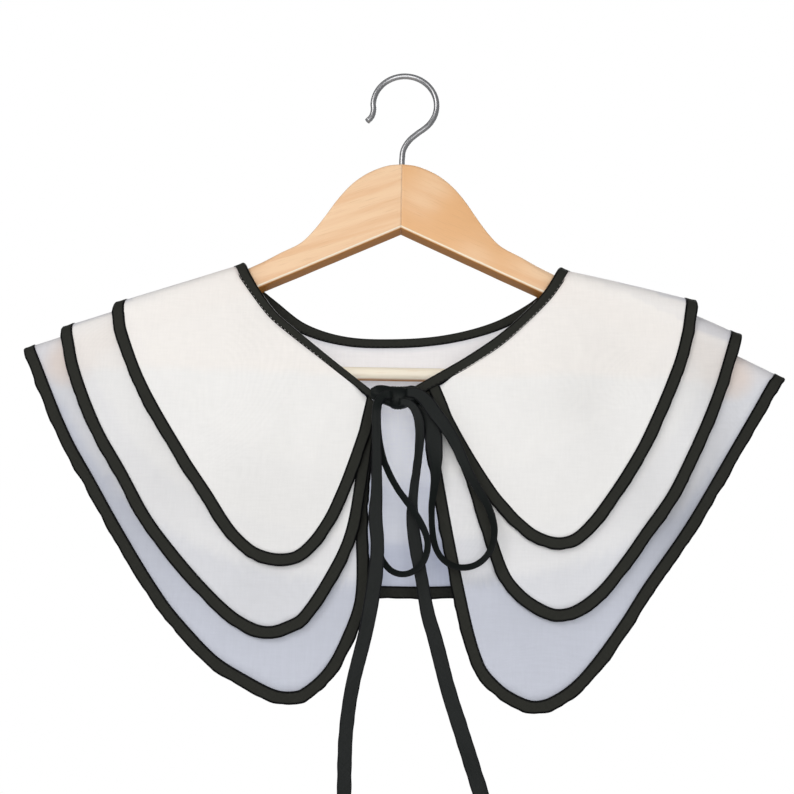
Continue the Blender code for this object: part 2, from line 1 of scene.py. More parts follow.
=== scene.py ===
"""Layered organza cape collar with bound edges and a tied bow, hung on a wooden hanger."""

from math import atan2, cos, degrees, exp, hypot, pi, radians, sin

import bpy
from mathutils import Matrix, Vector, noise
from mathutils.bvhtree import BVHTree
from mathutils.kdtree import KDTree


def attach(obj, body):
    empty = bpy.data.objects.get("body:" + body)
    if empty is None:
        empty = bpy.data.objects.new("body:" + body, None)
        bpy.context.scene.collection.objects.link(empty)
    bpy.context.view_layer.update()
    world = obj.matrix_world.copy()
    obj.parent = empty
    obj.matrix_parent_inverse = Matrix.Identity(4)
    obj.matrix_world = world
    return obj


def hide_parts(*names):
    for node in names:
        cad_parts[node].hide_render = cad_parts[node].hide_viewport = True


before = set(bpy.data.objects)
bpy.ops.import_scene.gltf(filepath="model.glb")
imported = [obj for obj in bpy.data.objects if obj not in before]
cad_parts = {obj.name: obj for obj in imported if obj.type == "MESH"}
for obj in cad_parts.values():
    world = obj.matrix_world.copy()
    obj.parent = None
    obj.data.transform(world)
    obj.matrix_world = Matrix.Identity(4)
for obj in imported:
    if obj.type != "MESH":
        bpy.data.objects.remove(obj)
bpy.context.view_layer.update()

# Camera: a little below the collar and straight in front of it, looking slightly up. It leans by one
# degree, because the hanger hangs that much out of level in the picture.
CAMERA_TARGET = Vector((-0.002, 0.0, -0.2275))
CAMERA_DISTANCE = 0.80
CAMERA_PITCH = radians(13.0)
CAMERA_ROLL = radians(1.0)
CAMERA_LENS_MM = 55.38

looking = Vector((0.0, cos(CAMERA_PITCH), sin(CAMERA_PITCH)))
level_up = Vector((0.0, -sin(CAMERA_PITCH), cos(CAMERA_PITCH)))
level_right = Vector((1.0, 0.0, 0.0))
camera_right = level_right * cos(CAMERA_ROLL) + level_up * sin(CAMERA_ROLL)
camera_up = level_up * cos(CAMERA_ROLL) - level_right * sin(CAMERA_ROLL)
camera_data = bpy.data.cameras.new("camera")
camera_data.lens = CAMERA_LENS_MM
camera_data.sensor_width = 36.0
camera_data.clip_start = 0.05
camera = bpy.data.objects.new("camera", camera_data)
bpy.context.scene.collection.objects.link(camera)
turned = Matrix((camera_right, camera_up, -looking)).transposed().to_4x4()
camera.matrix_world = Matrix.Translation(CAMERA_TARGET - looking * CAMERA_DISTANCE) @ turned
bpy.context.scene.camera = camera

# Organza tiers: three sheets, each cut in one piece from front edge round the back to front edge, with
# no shoulder seam. They hang over the hanger with their neck edges held together in one binding, and
# the shortest is outermost. Every edge is worked out here, and the bindings further on use it again.
ORGANZA_WALL = 0.0004
BINDING_WIDTH = 0.008
TUCKED_IN = 0.0016
NECK_HALF_GAP = 0.011
SPREAD_LENGTH = 0.045
# Where each tier lies beside the neck binding's middle: at the neck edge, and further out.
# Columns: tier, at_neck, away
LAYERS = (("tier_1", 0.0012, 0.0062), ("tier_2", 0.0, 0.0027), ("tier_3", -0.0012, -0.0008))
# Columns: left_x, left_z, left_width, right_x, right_z, right_width
NECK_FRONT = (
    (-0.104, -0.15, 0.0084, 0.1035, -0.149, 0.0084),
    (-0.097, -0.1605, 0.0072, 0.0965, -0.1595, 0.0078),
    (-0.0845, -0.1765, 0.0068, 0.0835, -0.174, 0.0076),
    (-0.0697, -0.1891, 0.0064, 0.0659, -0.1904, 0.008),
    (-0.0496, -0.205, 0.0056, 0.0459, -0.205, 0.0082),
    (-0.0336, -0.2175, 0.0054, 0.0279, -0.216, 0.0078),
    (-0.0204, -0.2277, 0.0054, 0.0133, -0.2245, 0.0072),
    (-0.0174, -0.2301, 0.0054, 0.0098, -0.2265, 0.007),
)
# Columns: x, z, width
NECK_BACK = (
    (-0.104, -0.15, 0.0084),
    (-0.088, -0.1629, 0.0084),
    (-0.066, -0.1791, 0.008),
    (-0.038, -0.1875, 0.0072),
    (-0.004, -0.1886, 0.007),
    (0.03, -0.1851, 0.0069),
    (0.062, -0.1761, 0.0072),
    (0.087, -0.1625, 0.0076),
    (0.1035, -0.149, 0.0084),
)
NECK_TOP_LEFT = (-0.1086, -0.1404, 0.0088)
NECK_TOP_RIGHT = (0.1085, -0.1398, 0.0088)
SHOULDER_FALL = (0.92, -0.39)
# Columns: tier, left_x, left_z, left_bow, right_x, right_z, right_bow
SHOULDER = (
    ("tier_1", -0.1885, -0.1678, 0.0, 0.195, -0.1593, 0.0005),
    ("tier_2", -0.2225, -0.185, -0.0016, 0.2245, -0.182, 0.0036),
    ("tier_3", -0.248, -0.2003, -0.0024, 0.2525, -0.2116, 0.0004),
)
CORNER_LEFT = 0.0209
CORNER_RIGHT = 0.0281
# Columns: left_x, left_z, right_x, right_z
FRONT_EDGE = {
    "tier_1": (
        (-0.1885, -0.178, 0.193, -0.1705),
        (-0.1855, -0.1925, 0.19, -0.187),
        (-0.1695, -0.2295, 0.183, -0.21),
        (-0.1405, -0.276, 0.1615, -0.2585),
        (-0.1245, -0.2985, 0.15, -0.2785),
        (-0.1085, -0.3215, 0.1365, -0.2985),
        (-0.095, -0.334, 0.1245, -0.314),
        (-0.084, -0.339, 0.1125, -0.3245),
        (-0.072, -0.3405, 0.0995, -0.3275),
        (-0.0605, -0.338, 0.084, -0.323),
        (-0.0495, -0.3285, 0.071, -0.313),
        (-0.039, -0.3125, 0.0638, -0.3052),
        (-0.031, -0.294, 0.0556, -0.2954),
        (-0.0255, -0.2785, 0.0402, -0.2714),
        (-0.0185, -0.256, 0.0266, -0.2466),
        (-0.0164, -0.246, 0.0226, -0.2363),
        (-0.0146, -0.2371, 0.0189, -0.2274),
    ),
    "tier_2": (
        (-0.2215, -0.194, 0.221, -0.1915),
        (-0.215, -0.2175, 0.211, -0.2215),
        (-0.1975, -0.257, 0.2015, -0.2445),
        (-0.18, -0.285, 0.189, -0.271),
        (-0.1625, -0.3135, 0.1765, -0.2945),
        (-0.147, -0.333, 0.1595, -0.318),
        (-0.126, -0.356, 0.145, -0.338),
        (-0.106, -0.374, 0.1295, -0.3565),
        (-0.091, -0.3825, 0.113, -0.3685),
        (-0.079, -0.385, 0.0995, -0.3715),
        (-0.068, -0.3825, 0.0875, -0.368),
        (-0.054, -0.3742, 0.074, -0.359),
        (-0.0332, -0.3402, 0.063, -0.3455),
        (-0.0244, -0.3164, 0.052, -0.315),
        (-0.019, -0.2785, 0.0375, -0.271),
        (-0.0146, -0.2371, 0.0155, -0.2294),
    ),
    "tier_3": (
        (-0.244, -0.208, 0.246, -0.219),
        (-0.2175, -0.2625, 0.227, -0.25),
        (-0.199, -0.2925, 0.214, -0.2715),
        (-0.181, -0.321, 0.189, -0.3123),
        (-0.15, -0.366, 0.1595, -0.353),
        (-0.131, -0.387, 0.1465, -0.373),
        (-0.1135, -0.403, 0.131, -0.3945),
        (-0.0925, -0.415, 0.1145, -0.413),
        (-0.076, -0.4225, 0.098, -0.424),
        (-0.065, -0.424, 0.085, -0.427),
        (-0.054, -0.4215, 0.0725, -0.4235),
        (-0.0385, -0.408, 0.059, -0.415),
        (-0.0275, -0.3885, 0.047, -0.4),
        (-0.018, -0.3585, 0.035, -0.357),
        (-0.019, -0.3, 0.018, -0.27),
        (-0.0146, -0.2371, 0.0134, -0.2306),
    ),
}
BACK_HEM = (("tier_1", -0.29), ("tier_2", -0.33), ("tier_3", -0.3575))
# Columns: share of the half width, share of the drop
BACK_SHAPE = (
    (1.0, 0.0), (0.95, 0.15), (0.885, 0.32), (0.80, 0.52), (0.70, 0.685),
    (0.57, 0.82), (0.40, 0.925), (0.20, 0.985), (0.0, 1.0),
)
# Broad folds that all tiers share. Columns: side, angle_from_down, half_angle, height
SOFT_FOLDS = (
    ("front", -66.0, 8.0, 0.0018),
    ("front", -40.0, 8.0, 0.0024),
    ("front", 38.0, 8.0, 0.0022),
    ("front", 62.0, 8.0, 0.002),
    ("back", -58.0, 10.0, 0.0022),
    ("back", -30.0, 9.0, 0.002),
    ("back", 8.0, 10.0, 0.0016),
    ("back", 34.0, 9.0, 0.0024),
    ("back", 64.0, 9.0, 0.0018),
)
FOLD_CENTRE_Z = -0.14
# Creases of single tiers or of all. Height is outward, so a trough is negative.
# Columns: tiers, side, from_x, from_z, to_x, to_z, half_width, height
CREASES = (
    ("123", "front", -0.106, -0.158, -0.074, -0.206, 0.0060, -0.0011),
    ("123", "front", -0.113, -0.165, -0.090, -0.246, 0.0085, 0.0012),
    ("12", "front", -0.072, -0.214, -0.064, -0.290, 0.0080, -0.0009),
    ("1", "front", -0.146, -0.190, -0.128, -0.262, 0.0070, 0.0008),
    ("1", "front", -0.044, -0.226, -0.056, -0.286, 0.0055, 0.0007),
    ("123", "front", 0.108, -0.160, 0.122, -0.214, 0.0050, 0.0011),
    ("12", "front", 0.122, -0.214, 0.112, -0.262, 0.0070, 0.0008),
    ("123", "front", 0.132, -0.166, 0.150, -0.212, 0.0090, -0.0010),
    ("1", "front", 0.078, -0.196, 0.094, -0.268, 0.0080, -0.0009),
    ("1", "front", 0.050, -0.214, 0.078, -0.286, 0.0060, 0.0008),
    ("2", "front", -0.186, -0.232, -0.150, -0.296, 0.0060, 0.0008),
    ("2", "front", -0.104, -0.340, -0.072, -0.366, 0.0060, -0.0007),
    ("2", "front", 0.180, -0.238, 0.150, -0.298, 0.0060, -0.0008),
    ("2", "front", 0.092, -0.334, 0.104, -0.362, 0.0060, 0.0008),
    ("3", "front", 0.222, -0.222, 0.200, -0.268, 0.0040, -0.0011),
    ("3", "front", 0.236, -0.226, 0.212, -0.262, 0.0050, 0.0010),
    ("3", "front", -0.218, -0.232, -0.192, -0.286, 0.0060, 0.0009),
    ("3", "front", -0.094, -0.376, -0.070, -0.414, 0.0070, 0.0009),
    ("3", "front", -0.132, -0.352, -0.104, -0.392, 0.0060, -0.0008),
    ("3", "front", 0.070, -0.380, 0.086, -0.420, 0.0070, 0.0009),
    ("3", "front", 0.132, -0.350, 0.110, -0.398, 0.0060, -0.0008),
    ("123", "back", -0.090, -0.168, -0.108, -0.238, 0.0080, 0.0011),
    ("12", "back", -0.052, -0.190, -0.062, -0.262, 0.0070, -0.0010),
    ("1", "back", -0.014, -0.196, -0.020, -0.276, 0.0080, 0.0009),
    ("123", "back", 0.036, -0.190, 0.040, -0.262, 0.0080, -0.0011),
    ("12", "back", 0.074, -0.176, 0.094, -0.256, 0.0070, 0.0010),
    ("1", "back", 0.112, -0.176, 0.142, -0.226, 0.0070, -0.0008),
    ("2", "back", -0.150, -0.250, -0.118, -0.300, 0.0060, 0.0008),
    ("2", "back", 0.022, -0.296, 0.028, -0.326, 0.0060, 0.0008),
    ("3", "back", -0.096, -0.316, -0.064, -0.346, 0.0060, 0.0009),
    ("3", "back", 0.150, -0.268, 0.118, -0.322, 0.0060, -0.0009),
)
# Broad soft patches of painted shade: where the cloth turns from the light, and where shade lies behind the
# sheer cloth.
# Columns: tiers, side, x, z, half_width, half_height, darkness
SHADE_PATCHES = (
    ("3", "front", -0.176, -0.302, 0.055, 0.060, 0.16),
    ("3", "front", 0.182, -0.300, 0.050, 0.060, 0.26),
    ("3", "front", 0.020, -0.372, 0.060, 0.016, 0.05),
    ("2", "front", 0.212, -0.212, 0.030, 0.036, 0.14),
    ("2", "front", -0.205, -0.215, 0.024, 0.040, 0.04),
    ("2", "front", 0.166, -0.290, 0.040, 0.030, 0.05),
    ("1", "front", 0.118, -0.232, 0.018, 0.020, 0.06),
    ("1", "front", 0.128, -0.208, 0.030, 0.040, 0.03),
    ("1", "front", -0.080, -0.305, 0.060, 0.040, 0.07),
    ("1", "front", 0.100, -0.298, 0.050, 0.030, 0.03),
    ("2", "front", -0.155, -0.290, 0.035, 0.045, 0.08),
    ("2", "front", -0.085, -0.360, 0.050, 0.030, 0.06),
    ("3", "front", -0.222, -0.230, 0.030, 0.040, 0.07),
    ("3", "back", -0.170, -0.290, 0.050, 0.045, 0.14),
    ("3", "back", 0.176, -0.296, 0.050, 0.050, 0.18),
    ("2", "back", 0.150, -0.262, 0.040, 0.030, 0.06),
    ("1", "back", -0.110, -0.240, 0.030, 0.040, 0.04),
)
# Cut cloth is never dead flat: a slight flutter that grows away from the neck.
FLUTTER_HEIGHT = 0.0011
FLUTTER_PER_METRE = 21.0
RELIEF_GROWS_OVER = 0.06
CREASE_WANDER = 0.0022
CREASE_WANDER_PER_METRE = 60
CREASE_FADE = 0.42
EDGE_SHADE = 0.03
EDGE_SHADE_REACH = 0.009
FRONT_STATIONS = 150
BACK_STATIONS = 130
ROWS_DOWN = 30
# How much closer together the stations lie where an edge turns, in metres for each radian.
FRONT_TURN_SIZE = 0.03
BACK_TURN_SIZE = 0.025
TURN_ANGLES = (-72, -54, -36, -18, 0, 18, 36, 54, 72)
TIERS = ("tier_1", "tier_2", "tier_3")


def smooth_line(rows, steps=12):
    """A smooth line through the rows, which have any number of columns after their place."""
    points = [Vector(row) for row in rows]
    line = []
    for i in range(len(points) - 1):
        p0, p1, p2 = points[max(i - 1, 0)], points[i], points[i + 1]
        p3 = points[min(i + 2, len(points) - 1)]
        reach = (p2 - p1).length
        before = (p2 - p0) * (reach / max((p2 - p0).length, 1e-9))
        after = (p3 - p1) * (reach / max((p3 - p1).length, 1e-9))
        for k in range(steps):
            t = k / steps
            line.append(
                p1 * (2 * t**3 - 3 * t**2 + 1)
                + before * (t**3 - 2 * t**2 + t)
                + p2 * (3 * t**2 - 2 * t**3)
                + after * (t**3 - t**2)
            )
    line.append(points[-1])
    return line


def spaced(line, count, turn_size=0.0):
    """Points along the line, closer together where it turns sharply."""
    travelled = [0.0]
    for i in range(1, len(line)):
        step = (line[i] - line[i - 1]).length
        if turn_size and i + 1 < len(line):
            a, b = line[i] - line[i - 1], line[i + 1] - line[i]
            if a.length > 1e-9 and b.length > 1e-9:
                step += turn_size * abs(a.angle(b))
        travelled.append(travelled[-1] + step)
    found, k = [], 0
    for i in range(count):
        want = travelled[-1] * i / (count - 1)
        while k < len(line) - 2 and travelled[k + 1] < want:
            k += 1
        part = (want - travelled[k]) / max(travelled[k + 1] - travelled[k], 1e-12)
        found.append(line[k].lerp(line[k + 1], min(max(part, 0.0), 1.0)))
    return found


def trimmed(line, off_start, off_end):
    """The line without its first and last stretch."""
    travelled = [0.0]
    for a, b in zip(line, line[1:]):
        travelled.append(travelled[-1] + (b - a).length)
    return [p for p, d in zip(line, travelled) if off_start <= d <= travelled[-1] - off_end]


def with_turns(left, back, right, top_left, top_right):
    """Joins front, back and front into a run of (point, angle): -90 in front, 90 behind."""
    run = [(p, -90.0) for p in left]
    run += [(left[-1].lerp(top_left, cos(radians(a))), a) for a in TURN_ANGLES]
    run += [(p, 90.0) for p in back]
    run += [(right[0].lerp(top_right, cos(radians(a))), a) for a in TURN_ANGLES[::-1]]
    run += [(p, -90.0) for p in right]
    return run


NECK_TOPS = (Vector(NECK_TOP_LEFT), Vector(NECK_TOP_RIGHT))
neck_left_line = smooth_line([row[0:3] for row in NECK_FRONT][::-1])
neck_right_line = smooth_line([row[3:6] for row in NECK_FRONT])
neck_back_line = spaced(smooth_line(NECK_BACK), BACK_STATIONS)
neck_run = with_turns(
    spaced(neck_left_line, FRONT_STATIONS),
    neck_back_line,
    spaced(neck_right_line, FRONT_STATIONS),
    *NECK_TOPS,
)
tier_neck_run = with_turns(
    spaced(trimmed(neck_left_line, CORNER_LEFT, 0.0), FRONT_STATIONS),
    neck_back_line,
    spaced(trimmed(neck_right_line, 0.0, CORNER_RIGHT), FRONT_STATIONS),
    *NECK_TOPS,
)


def lookup_tree(points):
    tree = KDTree(len(points))
    for i, point in enumerate(points):
        tree.insert(Vector((point.x, 0.0, point.y)), i)
    tree.balance()
    return tree


neck_trees = {
    "front": lookup_tree(spaced(neck_left_line, FRONT_STATIONS) + spaced(neck_right_line, FRONT_STATIONS)),
    "back": lookup_tree(neck_back_line),
}


def table_row(table, tier):
    return next(row[1:] for row in table if row[0] == tier)


def outward(run, i):
    """Unit direction in the sheet from the neck line out into the cloth at station i."""
    point, angle = run[i]
    if abs(angle) < 89:
        fall = Vector((SHOULDER_FALL[0] if point.x > 0 else -SHOULDER_FALL[0], SHOULDER_FALL[1]))
        side = i
        while abs(run[side][1]) < 89:
            side += 1 if (angle > 0) == (point.x < 0) else -1
        return outward(run, side).lerp(fall, cos(radians(angle))).normalized()
    before, after = run[max(i - 1, 0)][0].xy, run[min(i + 1, len(run) - 1)][0].xy
    along = (after - before).normalized()
    across = Vector((along.y, -along.x))
    return across if across.y < 0 else -across


def crease(tier, side, point):
    """Sum of the listed creases at a point, each fading out at its two ends."""
    total = 0.0
    for tiers, face, from_x, from_z, to_x, to_z, half_width, height in CREASES:
        if face != side or tier[-1] not in tiers:
            continue
        run_x, run_z = to_x - from_x, to_z - from_z
        length = hypot(run_x, run_z)
        along = ((point.x - from_x) * run_x + (point.y - from_z) * run_z) / length**2
        if -0.4 < along < 1.4:
            off = ((point.x - from_x) * run_z - (point.y - from_z) * run_x) / length
            wander = Vector((point.x * CREASE_WANDER_PER_METRE, point.y * CREASE_WANDER_PER_METRE, 7.0))
            off += CREASE_WANDER * noise.noise(wander)
            fade = exp(-(((along - 0.5) / CREASE_FADE) ** 4))
            total += height * fade * exp(-((off / half_width) ** 2))
    return total


def painted_shade(tier, place, angle):
    """Sum of the painted shade patches at a place of the tier, and the painted shade under the edge of the
    tier above.
    """
    side = "back" if angle > 0 else "front"
    total = 0.0
    for tiers, face, x, z, half_width, half_height, height in SHADE_PATCHES:
        if face == side and tier[-1] in tiers:
            total += height * exp(-(((place.x - x) / half_width) ** 2) - ((place.z - z) / half_height) ** 2)
    if tier != "tier_1":
        above = edge_trees[TIERS[TIERS.index(tier) - 1], side].find(Vector((place.x, 0.0, place.z)))[2]
        total += EDGE_SHADE * exp(-above / EDGE_SHADE_REACH)
    return total


def in_space(tier, point, angle):
    """Places a point (x, z) of a tier at its depth, in front or behind."""
    side = "back" if angle > 0 else "front"
    distance = neck_trees[side].find(Vector((point.x, 0.0, point.y)))[2]
    at_neck, away = table_row(LAYERS, tier)
    depth = NECK_HALF_GAP + at_neck + (away - at_neck) * (1.0 - exp(-distance / SPREAD_LENGTH))
    lean = degrees(atan2(point.x, FOLD_CENTRE_Z - point.y))
    push = sum(
        height * exp(-(((lean - middle) / half) ** 2))
        for face, middle, half, height in SOFT_FOLDS
        if face == side
    )
    place = Vector((point.x * FLUTTER_PER_METRE, point.y * FLUTTER_PER_METRE, float(tier[-1]) + depth))
    flutter = FLUTTER_HEIGHT * noise.noise(place + Vector((0.0, 0.0, 9.0 if side == "back" else 0.0)))
    grown = 1.0 - exp(-distance / RELIEF_GROWS_OVER)
    depth += (push * grown + (crease(tier, side, point) + flutter) * grown) * abs(sin(radians(angle))) ** 3
    return Vector((point.x, depth * sin(radians(angle)), point.y))


def tier_edge(tier):
    """Outer edge of a tier as a run of (point, angle)."""
    rows = FRONT_EDGE[tier]
    left = spaced(smooth_line([row[0:2] for row in rows][::-1]), FRONT_STATIONS, FRONT_TURN_SIZE)
    right = spaced(smooth_line([row[2:4] for row in rows]), FRONT_STATIONS, FRONT_TURN_SIZE)
    hem_z = table_row(BACK_HEM, tier)[0]
    tips = (left[-1], right[0])
    shape = [(tip, reach, drop) for tip in tips for reach, drop in BACK_SHAPE]
    rows = [Vector((tip.x * reach, tip.y + (hem_z - tip.y) * drop)) for tip, reach, drop in shape]
    half = len(BACK_SHAPE)
    back = spaced(smooth_line(rows[:half] + rows[half:-1][::-1]), BACK_STATIONS, BACK_TURN_SIZE)
    shoulder = table_row(SHOULDER, tier)
    return with_turns(left, back, right, Vector(shoulder[0:2]), Vector(shoulder[3:5]))


def inward(run, i, tier):
    """Step in the sheet from the outer edge inward, per metre of width."""
    point, angle = run[i]
    if abs(angle) < 89:
        shoulder = table_row(SHOULDER, tier)
        tip = Vector(shoulder[0:2]) if point.x < 0 else Vector(shoulder[3:5])
        return (NECK_TOPS[0 if point.x < 0 else 1].xy - tip).normalized()
    if i in (0, len(run) - 1):
        first, second, along_neck = (0, 1, 12) if i == 0 else (-1, -2, -13)
        edge = run[second][0] - run[first][0]
        neck = neck_run[along_neck][0].xy - neck_run[first][0].xy
        neck.normalize()
        edge.normalize()
        return neck / abs(neck.x * edge.y - neck.y * edge.x)
    along = (run[i + 1][0] - run[i - 1][0]).normalized()
    return Vector((along.y, -along.x)) if angle < 0 else Vector((-along.y, along.x))


tier_edges = {tier: tier_edge(tier) for tier in TIERS}
edge_trees = {
    (tier, side): lookup_tree([point for point, angle in tier_edges[tier] if angle * sign > 0])
    for tier in TIERS
    for side, sign in (("front", -1), ("back", 1))
}


def new_piece(name, verts, faces, surface, node, slot_name, values=None):
    """A mesh piece that stands for a CAD node and rides on the part, with its named values."""
    mesh = bpy.data.meshes.new(name)
    mesh.from_pydata(verts, [], faces)
    mesh.materials.append(surface)
    mesh.polygons.foreach_set("use_smooth", [True] * len(mesh.polygons))
    for key, numbers in (values or {}).items():
        layer = mesh.attributes.new(key, "FLOAT", "POINT")
        layer.data.foreach_set("value", numbers)
    piece = bpy.data.objects.new(name, mesh)
    bpy.context.scene.collection.objects.link(piece)
    if node:
        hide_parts(node)
    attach(piece, "root")
    return piece


def sheet_points(tier):
    """The tier's middle surface: one column of points at each station, from neck to edge."""
    run = tier_edges[tier]
    shoulder = table_row(SHOULDER, tier)
    at_neck = table_row(LAYERS, tier)[0]
    columns = []
    for i, (point, angle) in enumerate(run):
        neck, neck_angle = tier_neck_run[i]
        out = outward(tier_neck_run, i)
        up = Vector((-out.y, out.x)) if out.x > 0 else Vector((out.y, -out.x))
        start = neck.xy + out * (neck[2] / 2 - TUCKED_IN) + up * at_neck * cos(radians(neck_angle))
        end = point + inward(run, i, tier) * (BINDING_WIDTH - TUCKED_IN)
        bow = shoulder[2] if point.x < 0 else shoulder[5]
        column = []
        for row in range(ROWS_DOWN + 1):
            v = row / ROWS_DOWN
            here = start.lerp(end, v)
            here.y += bow * 4 * v * (1 - v) * cos(radians(angle)) ** 2
            column.append(in_space(tier, here, angle))
        columns.append(column)
    return columns


# What lies behind thin cloth shows in its tone: the number of sheets, and wood close behind.
SOFT_BORDER = 0.004
border_trees = {}
for tier in TIERS:
    for side, sign in (("front", -1), ("back", 1)):
        border = []
        for i, (point, angle) in enumerate(tier_edges[tier]):
            if angle * sign > 0:
                neck = tier_neck_run[i][0]
                border.append(point + inward(tier_edges[tier], i, tier) * (BINDING_WIDTH + 0.0003))
                border.append(neck.xy + outward(tier_neck_run, i) * (neck[2] / 2 + 0.0003))
        border_trees[tier, side] = lookup_tree(border)
solid_trees = {}
for node_name, node_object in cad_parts.items():
    if node_name.endswith("_panel") or node_name.startswith("hanger_arm") or node_name == "hanger_bar":
        corners = [vertex.co.copy() for vertex in node_object.data.vertices]
        polygons = [tuple(face.vertices) for face in node_object.data.polygons]
        solid_trees[node_name] = BVHTree.FromPolygons(corners, polygons)
WOOD_REACH = 0.016
SHEET_REACH = 0.06


def seen_through(tier, place, angle, outer):
    """How many sheets lie behind the cloth here, and how near the hanger's wood is (0 to 1)."""
    middle = Vector((place.x, 0.0, place.z))
    own, other = ("back", "front") if angle > 0 else ("front", "back")
    sheets = 0.0
    for name in TIERS:
        deeper = name > tier if outer else name < tier
        for side in ([own] if deeper else []) + ([other] if outer else []):
            ray = Vector((0.0, 1.0 if side == "back" else -1.0, 0.0))
            met = solid_trees[name + "_panel"].ray_cast(middle, ray, SHEET_REACH)[0]
            reach = min(border_trees[name, side].find(middle)[2] / SOFT_BORDER, 1.0)
            sheets += 0.5 + (0.5 if met else -0.5) * reach
    wood = 0.0
    if outer:
        for name in ("hanger_arm_left", "hanger_arm_right", "hanger_bar"):
            far = solid_trees[name].find_nearest(place, WOOD_REACH)[3]
            wood = max(wood, 0.0 if far is None else 1.0 - far / WOOD_REACH)
    return sheets, wood


# Shader helpers, first needed for the cloth.
def put(socket, value):
    """Links an output to the socket, or sets a plain value on it. Colours are red, green, blue."""
    if isinstance(value, bpy.types.NodeSocket):
        socket.id_data.links.new(value, socket)
    elif socket.type == "RGBA":
        socket.default_value = (*value, 1.0)
    else:
        socket.default_value = value


def add_node(tree, kind, inputs=None, **settings):
    made = tree.nodes.new(kind)
    for name, value in settings.items():
        setattr(made, name, value)
    for name, value in (inputs or {}).items():
        put(made.inputs[name], value)
    return made


def math(tree, operation, a, b=0.0, c=0.0):
    made = tree.nodes.new("ShaderNodeMath")
    made.operation = operation
    for socket, value in zip(made.inputs, (a, b, c)):
        put(socket, value)
    return made.outputs[0]


def blend_colours(tree, share, a, b, kind="MIX"):
    made = tree.nodes.new("ShaderNodeMix")
    made.data_type = "RGBA"
    made.blend_type = kind
    put(made.inputs["Factor"], share)
    put(made.inputs["A"], a)
    put(made.inputs["B"], b)
    return made.outputs["Result"]


def from_range(tree, value, low, high, to_low=0.0, to_high=1.0):
    made = tree.nodes.new("ShaderNodeMapRange")
    made.interpolation_type = "SMOOTHSTEP"
    for name, number in (("From Min", low), ("From Max", high), ("To Min", to_low), ("To Max", to_high)):
        made.inputs[name].default_value = number
    put(made.inputs["Value"], value)
    return made.outputs["Result"]


def new_group(name, inputs, outputs):
    """An empty shader group with its sockets. inputs and outputs are (name, kind, value)."""
    group = bpy.data.node_groups.new(name, "ShaderNodeTree")
    for label, kind, value in inputs:
        socket = group.interface.new_socket(name=label, in_out="INPUT", socket_type="NodeSocket" + kind)
        if value is not None:
            socket.default_value = value
    for label, kind in outputs:
        group.interface.new_socket(name=label, in_out="OUTPUT", socket_type="NodeSocket" + kind)
    return group, group.nodes.new("NodeGroupInput").outputs, group.nodes.new("NodeGroupOutput").inputs


def use_group(tree, name, **values):
    made = tree.nodes.new("ShaderNodeGroup")
    made.node_tree = bpy.data.node_groups[name]
    for label, value in values.items():
        put(made.inputs[label], value)
    return made.outputs


def new_material(name, preview, **constants):
    """A Principled material. Constants are set on the shader's own sockets."""
    made = bpy.data.materials.new(name)
    made.use_nodes = True
    made.diffuse_color = (*preview, 1.0)
    shader = made.node_tree.nodes["Principled BSDF"]
    for label, value in constants.items():
        shader.inputs[label.replace("_", " ")].default_value = value
    return made, made.node_tree, shader


def surface_value(tree, name):
    return add_node(tree, "ShaderNodeAttribute", attribute_name=name).outputs["Fac"]


def object_place(tree):
    return add_node(tree, "ShaderNodeTexCoord").outputs["Object"]


def noise_value(tree, place, scale, **more):
    return add_node(tree, "ShaderNodeTexNoise", {"Vector": place, "Scale": scale, **more}).outputs["Fac"]


def stretched_by(tree, place, factors):
    return add_node(tree, "ShaderNodeVectorMath", {0: place, 1: factors}, operation="MULTIPLY").outputs[0]


def turned_about_y(tree, place, angle):
    inputs = {"Vector": place, "Angle": angle}
    return add_node(tree, "ShaderNodeVectorRotate", inputs, rotation_type="Y_AXIS").outputs[0]


def split_axes(tree, place):
    return add_node(tree, "ShaderNodeSeparateXYZ", {"Vector": place}).outputs


def add_bump(tree, shader, height, distance, strength):
    bump = add_node(tree, "ShaderNodeBump", {"Height": height, "Distance": distance, "Strength": strength})
    put(shader.inputs["Normal"], bump.outputs["Normal"])


# Plain weave: crossed threads, with thicker slubs here and there along both directions.
tree, given, result = new_group(
    "plain_weave",
    (("Place", "Vector", None), ("Threads", "Float", 900.0), ("Slub", "Float", 0.5), ("Turn", "Float", 0.0)),
    (("Height", "Float"), ("Slubs", "Float")),
)
turned_place = turned_about_y(tree, given["Place"], given["Turn"])
axes = split_axes(tree, turned_place)
turns = math(tree, "MULTIPLY", given["Threads"], 2 * pi)
warp = math(tree, "SINE", math(tree, "MULTIPLY", axes["X"], turns))
weft = math(tree, "SINE", math(tree, "MULTIPLY", axes["Z"], turns))
put(result["Height"], math(tree, "MULTIPLY_ADD", math(tree, "MULTIPLY", warp, weft), 0.5, 0.5))
streaks = [
    noise_value(tree, stretched_by(tree, turned_place, stretch), 1.0)
    for stretch in ((820.0, 60.0, 90.0), (90.0, 60.0, 820.0))
]
both = math(tree, "ADD", streaks[0], streaks[1])
put(result["Slubs"], math(tree, "MULTIPLY", both, given["Slub"]))
